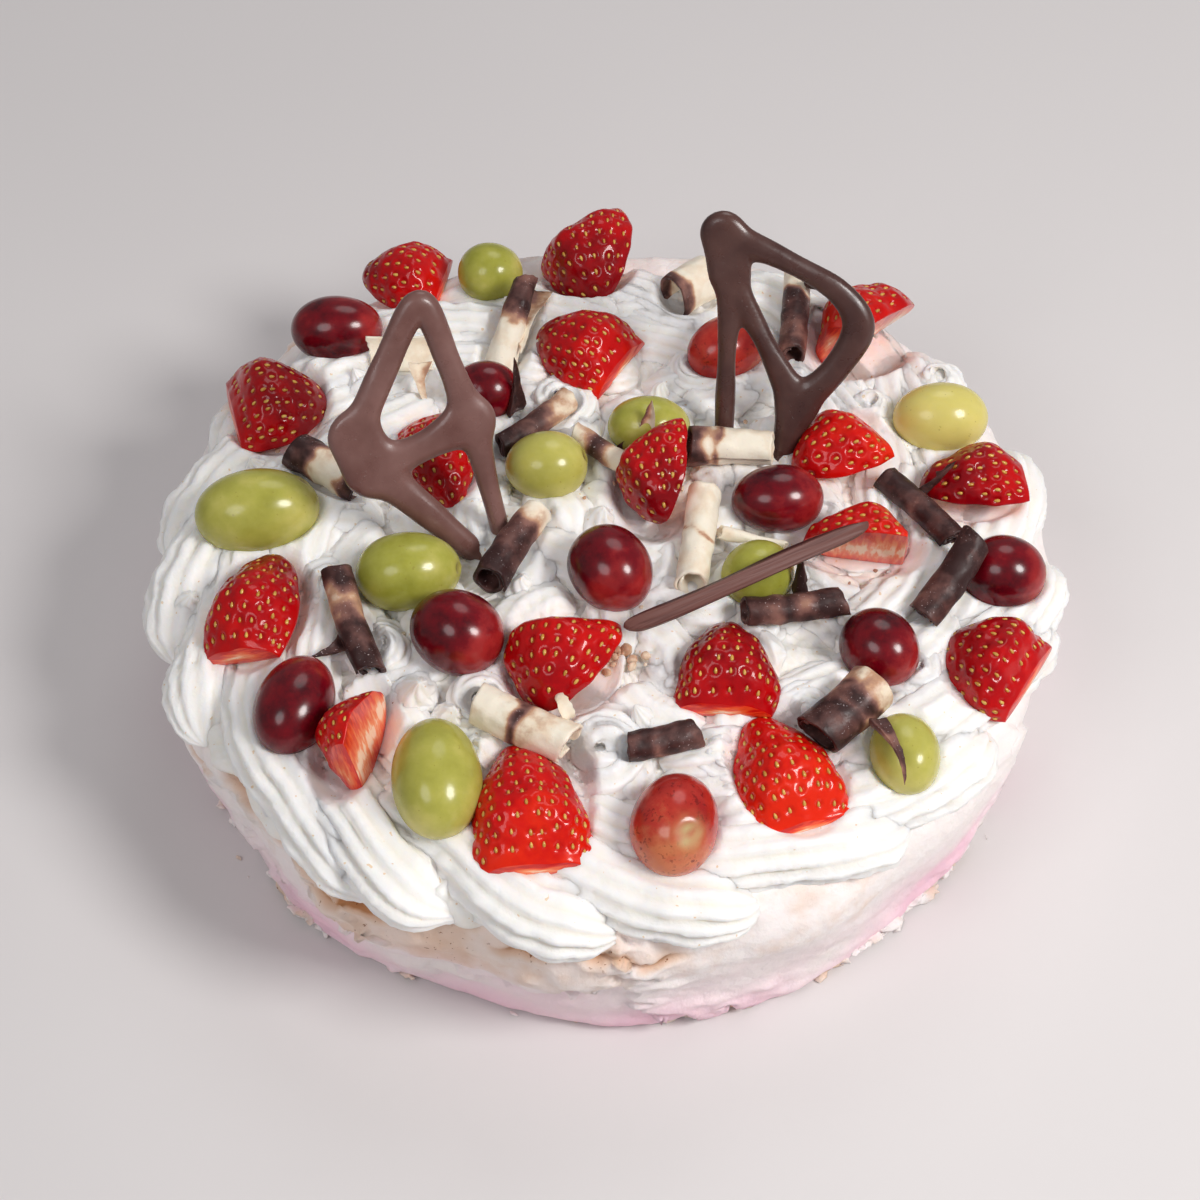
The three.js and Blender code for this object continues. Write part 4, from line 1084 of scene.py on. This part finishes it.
# ---------------------------------------------------------------- chocolate
def curl_skin(length, radius, taper, turns, start, milk_stops, seed, wall=CURL_WALL):
    """A rolled shaving. Its section is a spiral strip: out along the outer face, whose radius
    shrinks by a wall and a slit in each turn, and back along the inner face. It is carried along
    X, tapered, and each end is ragged because a point's x depends on where it is on the spiral."""
    steps, stations = 78, 44
    along_roll = np.linspace(0, 1, steps)
    angle = np.radians(start) - TURN * turns * along_roll
    outer = radius - (wall + 0.45) * np.maximum(0, turns * along_roll - 0.4)
    thick = wall * (0.35 + 0.65 * np.sin(np.pi * np.clip(along_roll, 0.03, 0.97)) ** 0.35)
    inner = np.maximum(outer - thick, 0.25)
    section = np.concatenate([
        np.stack([outer * np.cos(angle), outer * np.sin(angle)], -1),
        np.stack([inner * np.cos(angle), inner * np.sin(angle)], -1)[::-1],
    ])
    place = np.concatenate([along_roll, along_roll[::-1]])
    share = np.linspace(0, 1, stations)
    random = np.random.default_rng(seed)
    slants = [
        random.uniform(0.4, 1.3) * (1 + np.sin(TURN * turns * place + random.uniform(0, TURN)))
        for _ in range(2)
    ]
    chips = [0.12 * np.sin(TURN * place * k + random.uniform(0, 6)) for k in (5.3, 9.1)]
    near = -length / 2 + slants[0] + chips[0]
    far = length / 2 - slants[1] + chips[1]
    x = near[None, :] + (far - near)[None, :] * share[:, None]
    scale = 1 + (taper - 1) * share[:, None]
    bow = random.uniform(-0.8, 0.8) * (1 - (2 * share - 1) ** 2)[:, None]
    rings = np.stack([x, section[:, 0] * scale + bow, section[:, 1] * scale], -1)
    flat = rings.reshape(-1, 3)
    flat = flat + 0.14 * np.stack([0 * flat[:, 0], wander(flat, 5, seed), wander(flat, 4, seed + 1)], -1)
    quads = grid_quads(stations, 2 * steps)
    i = np.arange(steps - 1)
    near_cap = np.stack([i + 1, i, 2 * steps - 1 - i, 2 * steps - 2 - i], -1)
    far_cap = near_cap[:, ::-1] + (stations - 1) * 2 * steps
    quads = np.concatenate([quads, near_cap, far_cap])
    positions, levels = zip(*milk_stops)
    drift = np.repeat(share, 2 * steps) + 0.05 * wander(flat, 7, seed + 2)
    drift = drift + 0.03 * np.sin(np.tile(place, stations) * TURN * 2)
    milk = np.interp(drift, positions, levels) + 0.05 * wander(flat * [0.4, 1, 1], 4.5, seed + 3)
    return (flat, quads, np.zeros((0, 3), int)), {"milk": np.clip(milk, 0, 1)}


def make_curls(material):
    """The rolled curls, set on their nodes."""
    for number, (length, radius, heading, pitch, taper, turns, start, stops) in enumerate(CURLS, 1):
        node = f"curl_{number:02d}"
        skin, fields = curl_skin(length, radius, taper, turns, start, stops, 60 + 9 * number)
        add_piece(f"{node}_roll", placed(skin, turning(heading, pitch), node), material, [node], fields)


def thorn_skin(base, tip, width, thickness, bend, seed):
    """A shard: flat oval rings that shrink from the base to a point, along a line that bows
    sideways by bend in its middle."""
    base, tip = np.array(base, float), np.array(tip, float)
    share = np.linspace(0, 1, 26)
    axis = tip - base
    length = np.linalg.norm(axis)
    axis /= length
    side = np.cross(axis, [0.25, 0.2, 1.0])
    side /= np.linalg.norm(side)
    up = np.cross(side, axis)
    bow = (4 * share * (1 - share) * bend)[:, None] * side
    path = base + (tip - base) * share[:, None] + bow
    size = np.clip((1 - share) ** 0.8, 0.03, 1) * (0.85 + 0.15 * np.cos(share * 6))
    around = np.linspace(0, TURN, 20, endpoint=False)
    across = np.cos(around) * width / 2
    over = np.sin(around) * thickness / 2 + 0.35 * width * (np.cos(around) ** 2 - 0.5)
    rings = path[:, None, :] + size[:, None, None] * (across[None, :, None] * side + over[None, :, None] * up)
    skin = lofted(rings)
    skin[0][:] += 0.1 * np.stack([wander(skin[0], 3, seed + k) for k in range(3)], -1)
    along = np.concatenate([np.repeat(share, len(around)), [0, 1]])
    sideways = np.concatenate([np.tile(np.cos(around), len(share)), [0, 0]])
    return skin, along, sideways


def make_shards(material):
    """Loose shards and thorns, each placed from the middle of the curl beside it: curl, offsets of
    base and tip, width, thickness, bend, milk at base, at tip and across."""
    shards = [
        (1, (7, 15, -1), (3, -10, 0), 9, 1.4, 0.8, 0.35, 1.0, -0.25),
        (2, (5.5, -8, 5), (8, -19, 0.5), 7, 1.2, 1.0, 0.75, 0.6, 0.1),
        (4, (-6, 6, -2), (-6, 12, 13), 7.5, 1.6, 0.8, 0.05, 0.1, 0.1),
        (6, (9, 2.5, -5), (13.5, 7, 11), 11, 1.5, 1.2, 0.55, 0.75, 0.45),
        (10, (2.5, 9, -2), (9.5, 9, 8), 9, 2.2, 1.5, 0.08, 0.12, 0.0),
        (12, (2, 6, -1), (1, 9, 14), 8, 2.6, 1.0, 0.04, 0.06, 0.05),
        (13, (7, -6, 4), (12, -26, 6.5), 4.6, 2.8, -2.2, 0.2, 0.38, 0.08),
        (16, (-1, -4, -3), (-10, -10.5, -1.5), 7, 2.2, -1.0, 0.04, 0.08, 0.0),
        (18, (4, 8, 5.5), (13.5, 1.5, 5.5), 7, 2.0, 1.2, 0.05, 0.1, 0.0),
    ]
    skins, milk = [], []
    for index, (number, base, tip, width, thick, bend, first, last, side) in enumerate(shards):
        middle = node_middle(f"curl_{number:02d}")
        skin, along, across = thorn_skin(middle + base, middle + tip, width, thick, bend, 800 + index)
        skins.append(skin)
        milk.append(first + (last - first) * along + side * across)
    fields = {"milk": np.clip(np.concatenate(milk), 0, 1)}
    add_piece("chocolate_shards", joined(skins), material, (), fields)
    (points, quads, triangles), fields = curl_skin(4, 3.6, 1, 0.8, 250, [(0, 0.9), (1, 1)], 77, 0.7)
    points = points @ turning(35, 10).T + node_middle("curl_15") + [8.8, 3, 1.5]
    add_piece("chocolate_ring_curl", (points, quads, triangles), material, (), fields)


def make_stick(material):
    """A planed blade: a five-cornered section with a ridge, rounded, carried along X with a slow
    S and rounded ends."""
    length, width, thickness, heading, pitch = STICK
    corners = np.array([(0.5, -0.45), (0.42, -0.05), (0.0, 0.55), (-0.5, -0.1), (-0.42, -0.45)])
    edge = np.linspace(0, 5, 61)[:-1]
    index = edge.astype(int)
    part = ease(edge - index, 0.0, 1.0) * 0.25 + (edge - index) * 0.75
    section = corners[index] * (1 - part)[:, None] + corners[(index + 1) % 5] * part[:, None]
    ends = np.linspace(-0.5, -0.42, 14), np.linspace(0.42, 0.5, 14)
    share = np.concatenate([ends[0], np.linspace(-0.41, 0.41, 70), ends[1]])
    breadth = np.sqrt(np.clip(1 - (2 * np.abs(share)) ** 9, 0.004, 1)) * (1 + 0.08 * np.sin(share * 9))
    bow = 0.5 * np.sin(TURN * share)
    x = np.repeat(share[:, None] * length, len(section), 1)
    y = section[None, :, 0] * width * breadth[:, None] + bow[:, None]
    z = section[None, :, 1] * thickness * np.minimum(1, breadth)[:, None] ** 0.6
    rings = np.stack([x, y, z], -1)
    flat = rings.reshape(-1, 3)
    grooves = wander(flat * [0.05, 1, 1], 1.6, 31, 12)
    flat = flat + 0.12 * np.stack([0 * grooves, 0.5 * grooves, grooves], -1)
    skin = lofted(flat.reshape(rings.shape))
    facet = np.concatenate([np.repeat((section[:, 0] > 0.1)[None, :], len(share), 0).ravel() * 1.0, [0, 0]])
    fields = {"facet": 0.9 - 0.65 * facet, "blade": skin[0]}
    add_piece("chocolate_stick_blade", placed(skin, turning(heading, pitch), "chocolate_stick"), material,
              ["chocolate_stick"], fields)


def surface_net(values, low, step):
    """The closed surface where a grid of values passes through zero, negative inside. Each cell
    that the surface crosses gets one point, the mean of the crossings on its twelve edges, and
    each crossed edge gets a quad of its four cells."""
    inside = values < 0
    shape = np.array(values.shape)
    total = np.zeros((*(shape - 1), 3))
    count = np.zeros(shape - 1)
    quads_of = []
    corners = [(b, c) for b in (0, 1) for c in (0, 1)]
    for axis in range(3):
        v = np.moveaxis(values, axis, 0)
        s = np.moveaxis(inside, axis, 0)
        crossed = s[:-1] != s[1:]
        share = np.where(crossed, v[:-1] / np.where(crossed, v[:-1] - v[1:], 1), 0)
        sums = np.moveaxis(total, axis, 0)
        counts = np.moveaxis(count, axis, 0)
        others = [k for k in range(3) if k != axis]
        for b, c in corners:
            m, n = sums.shape[1:3]
            hit = crossed[:, b:b + m, c:c + n]
            counts += hit
            sums[..., axis] += np.where(hit, share[:, b:b + m, c:c + n], 0)
            sums[..., others[0]] += b * hit
            sums[..., others[1]] += c * hit
        i, j, k = np.nonzero(crossed[:, 1:-1, 1:-1])
        around = [(j, k), (j + 1, k), (j + 1, k + 1), (j, k + 1)]
        cells = []
        for jj, kk in around:
            place = [None, None, None]
            place[axis], place[others[0]], place[others[1]] = i, jj, kk
            cells.append(np.ravel_multi_index(place, shape - 1))
        cells = np.stack(cells, -1)
        flip = s[:-1][i, j + 1, k + 1] ^ (axis == 1)
        quads_of.append(np.where(flip[:, None], cells, cells[:, ::-1]))
    quads = np.concatenate(quads_of)
    used, quads = np.unique(quads, return_inverse=True)
    quads = quads.reshape(-1, 4)
    place = np.stack(np.unravel_index(used, shape - 1), -1)
    mean = total.reshape(-1, 3)[used] / np.maximum(count.reshape(-1)[used], 1)[:, None]
    return low + (place + mean) * step, quads


def smooth_strand(places, steps=14):
    """The places joined by a Catmull-Rom curve, whose end places count twice."""
    places = np.array(places, float)
    padded = np.concatenate([places[:1], places, places[-1:]])
    share = np.linspace(0, 1, steps, endpoint=False)[:, None]
    parts = []
    for a, b, c, d in zip(padded, padded[1:], padded[2:], padded[3:]):
        bend = (2 * a - 5 * b + 4 * c - d) * share ** 2 + (3 * b - a - 3 * c + d) * share ** 3
        parts.append(b + 0.5 * ((c - a) * share + bend))
    return np.concatenate([*parts, places[-1:]])


def strand_distance(x, y, strand):
    """Distance from the strand's outline: the least, over its short pieces, of the distance to
    the piece less its half width there."""
    least = np.full(x.shape, 1e3)
    for a, b in zip(strand, strand[1:]):
        line = (b - a)[:2]
        along = np.clip(((x - a[0]) * line[0] + (y - a[1]) * line[1]) / (line @ line), 0, 1)
        away = np.hypot(x - a[0] - along * line[0], y - a[1] - along * line[1])
        least = np.minimum(least, away - (a[2] + (b[2] - a[2]) * along))
    return least


def make_lattices(milk, dark):
    """Poured lattices. In the plate, the strands' distances blend by a smooth minimum. The plate's
    half thickness falls off as a quarter ellipse towards that outline."""
    step = 0.62
    for node, (turn, lean, strands) in LATTICES.items():
        corners = np.array([place[:2] for strand in strands for place in strand], float)
        low = np.array([*(corners.min(0) - 10), -4])
        high = np.array([*(corners.max(0) + 10), 4])
        axes = [np.arange(a, b, step) for a, b in zip(low, high)]
        x, y = np.meshgrid(axes[0], axes[1], indexing="ij")
        blend = sum(np.exp(-strand_distance(x, y, smooth_strand(strand)) / 1.2) for strand in strands)
        outline = -1.2 * np.log(np.maximum(blend, 1e-30)) + 0.5
        flat = np.stack([x, y, 0 * x], -1).reshape(-1, 3)
        outline = outline + 0.22 * wander(flat, 22, 5).reshape(x.shape)
        half = LATTICE_THICKNESS / 2 * (1.04 + 0.08 * wander(flat, 22, 8).reshape(x.shape))
        bulge = np.clip(1 + outline / 3.4, 0, None) ** 2
        values = (axes[2][None, None, :] / half[..., None]) ** 2 + bulge[..., None] - 1
        points, quads = surface_net(values, low, step)
        material, slot = (milk, "milk_chocolate") if node.endswith("left") else (dark, "dark_chocolate")
        skin = placed((points, quads, np.zeros((0, 3), int)), turning(turn, 0, 90 - lean), node)
        add_piece(f"{node}_poured", skin, material, [node])


# ---------------------------------------------------------------- crumbs on the cream
def make_crumbs(material):
    """Caramel crumbs and flecks of chocolate scattered over the cream, more of them by the stick."""
    count = 150
    radius = 100 * np.sqrt(rng.uniform(0, 1, count))
    angle = rng.uniform(0, TURN, count)
    x, y = radius * np.cos(angle), radius * np.sin(angle)
    x[:BY_STICK] = 3.5 + rng.normal(0, 3.2, BY_STICK)
    y[:BY_STICK] = -42.5 + rng.normal(0, 1.4, BY_STICK)
    size = rng.uniform(0.25, 0.75, count)
    size[:BY_STICK] = rng.uniform(0.6, 1.5, BY_STICK)
    base = pressed(np.stack([x, y, cream_height(x, y) + 0.6], -1))
    heading = rng.uniform(0, 360, count)
    pitch = rng.uniform(-40, 40, count)
    axes = np.stack([turning(*angles) for angles in zip(heading, pitch)])
    scale = size[:, None] * rng.uniform(0.6, 1.4, (count, 3))
    points, quads, triangles = copies(ball(5, 8), (axes * scale[:, None, :], base))
    points = points + 0.12 * np.stack([wander(points, 0.9, s) for s in (31, 32, 33)], -1)
    kinds = rng.choice([0.62, 0.68, 0.72, 0.8], count)
    milk = np.where(np.arange(count) < BY_STICK, 0.68, kinds)
    milk = np.repeat(milk, len(points) // count)
    add_piece("crumbs", (points, quads, triangles), material, (), {"milk": milk})


# ---------------------------------------------------------------- stage, light, camera
def make_stage():
    """A wide pale floor, three soft lamps and a camera that looks down on the front."""
    mesh = bpy.data.meshes.new("floor")
    reach = 6.0
    corners = [(-reach, -reach, 0), (reach, -reach, 0), (reach, reach, 0), (-reach, reach, 0)]
    mesh.from_pydata(corners, [], [(0, 1, 2, 3)])
    finish = Finish("pale_floor", 0.8, 0.2)
    stops = [(0.3, (0.70, 0.67, 0.67, 1)), (0.7, (0.73, 0.70, 0.70, 1))]
    finish.into("Base Color", finish.ramp(finish.noise(300, 2), stops))
    mesh.materials.append(finish.material)
    floor = bpy.data.objects.new("floor", mesh)
    bpy.context.scene.collection.objects.link(floor)

    def lamp(name, azimuth, elevation, distance, size, power, colour):
        """A round lamp aimed at the object, placed by azimuth and elevation in degrees."""
        data = bpy.data.lights.new(name, "AREA")
        data.shape = "DISK"
        data.size = size
        data.energy = power
        data.color = colour
        light = bpy.data.objects.new(name, data)
        a, e = np.radians([azimuth, elevation])
        place = np.array([np.sin(a) * np.cos(e), -np.cos(a) * np.cos(e), np.sin(e)]) * distance
        light.location = place + [0, 0, 0.05]
        light.rotation_mode = "QUATERNION"
        light.rotation_quaternion = (-Vector(place)).to_track_quat("-Z", "Y")
        bpy.context.scene.collection.objects.link(light)

    lamp("key", 62, 46, 1.0, 0.34, 6.8, (1.0, 0.985, 0.965))
    lamp("fill", -40, 50, 1.1, 0.5, 2.5, (0.98, 0.985, 1.0))
    lamp("back", 165, 52, 1.2, 0.6, 1.9, (1.0, 1.0, 1.0))
    world = bpy.data.worlds.new("studio")
    world.use_nodes = True
    world.node_tree.nodes["Background"].inputs["Color"].default_value = (0.95, 0.93, 0.94, 1)
    world.node_tree.nodes["Background"].inputs["Strength"].default_value = 0.27
    bpy.context.scene.world = world
    bpy.context.scene.view_settings.view_transform = "Standard"

    data = bpy.data.cameras.new("camera")
    data.sensor_width = 36
    data.lens = 75
    camera = bpy.data.objects.new("camera", data)
    target = Vector(CAMERA_TARGET) * MM
    elevation = np.radians(CAMERA_ELEVATION)
    back = Vector((0, -np.cos(elevation), np.sin(elevation)))
    camera.location = target + back * CAMERA_DISTANCE * MM
    camera.rotation_mode = "QUATERNION"
    camera.rotation_quaternion = (-back).to_track_quat("-Z", "Y")
    bpy.context.scene.collection.objects.link(camera)
    bpy.context.scene.camera = camera


# ---------------------------------------------------------------- making it
crust = meringue_finish()
cream = cream_finish()
marbled = curl_finish()
make_meringue(crust)
make_flakes(crust)
make_cream(cream)
make_strawberries(strawberry_skin(), strawberry_flesh(), seed_finish())
make_grapes(
    red_grape_finish("red_grape_dark", tone(66, 2, 14), tone(114, 4, 20), tone(162, 40, 40), 0.35),
    red_grape_finish("red_grape_coral", tone(156, 22, 22), tone(188, 54, 42), tone(208, 118, 78), 0.8),
    green_grape_finish(),
)
make_curls(marbled)
make_shards(marbled)
make_stick(stick_finish())
make_lattices(
    moulded_finish("poured_milk_chocolate", tone(106, 70, 64), tone(134, 98, 92)),
    moulded_finish("poured_dark_chocolate", tone(62, 36, 34), tone(90, 60, 54)),
)
make_crumbs(marbled)
make_stage()
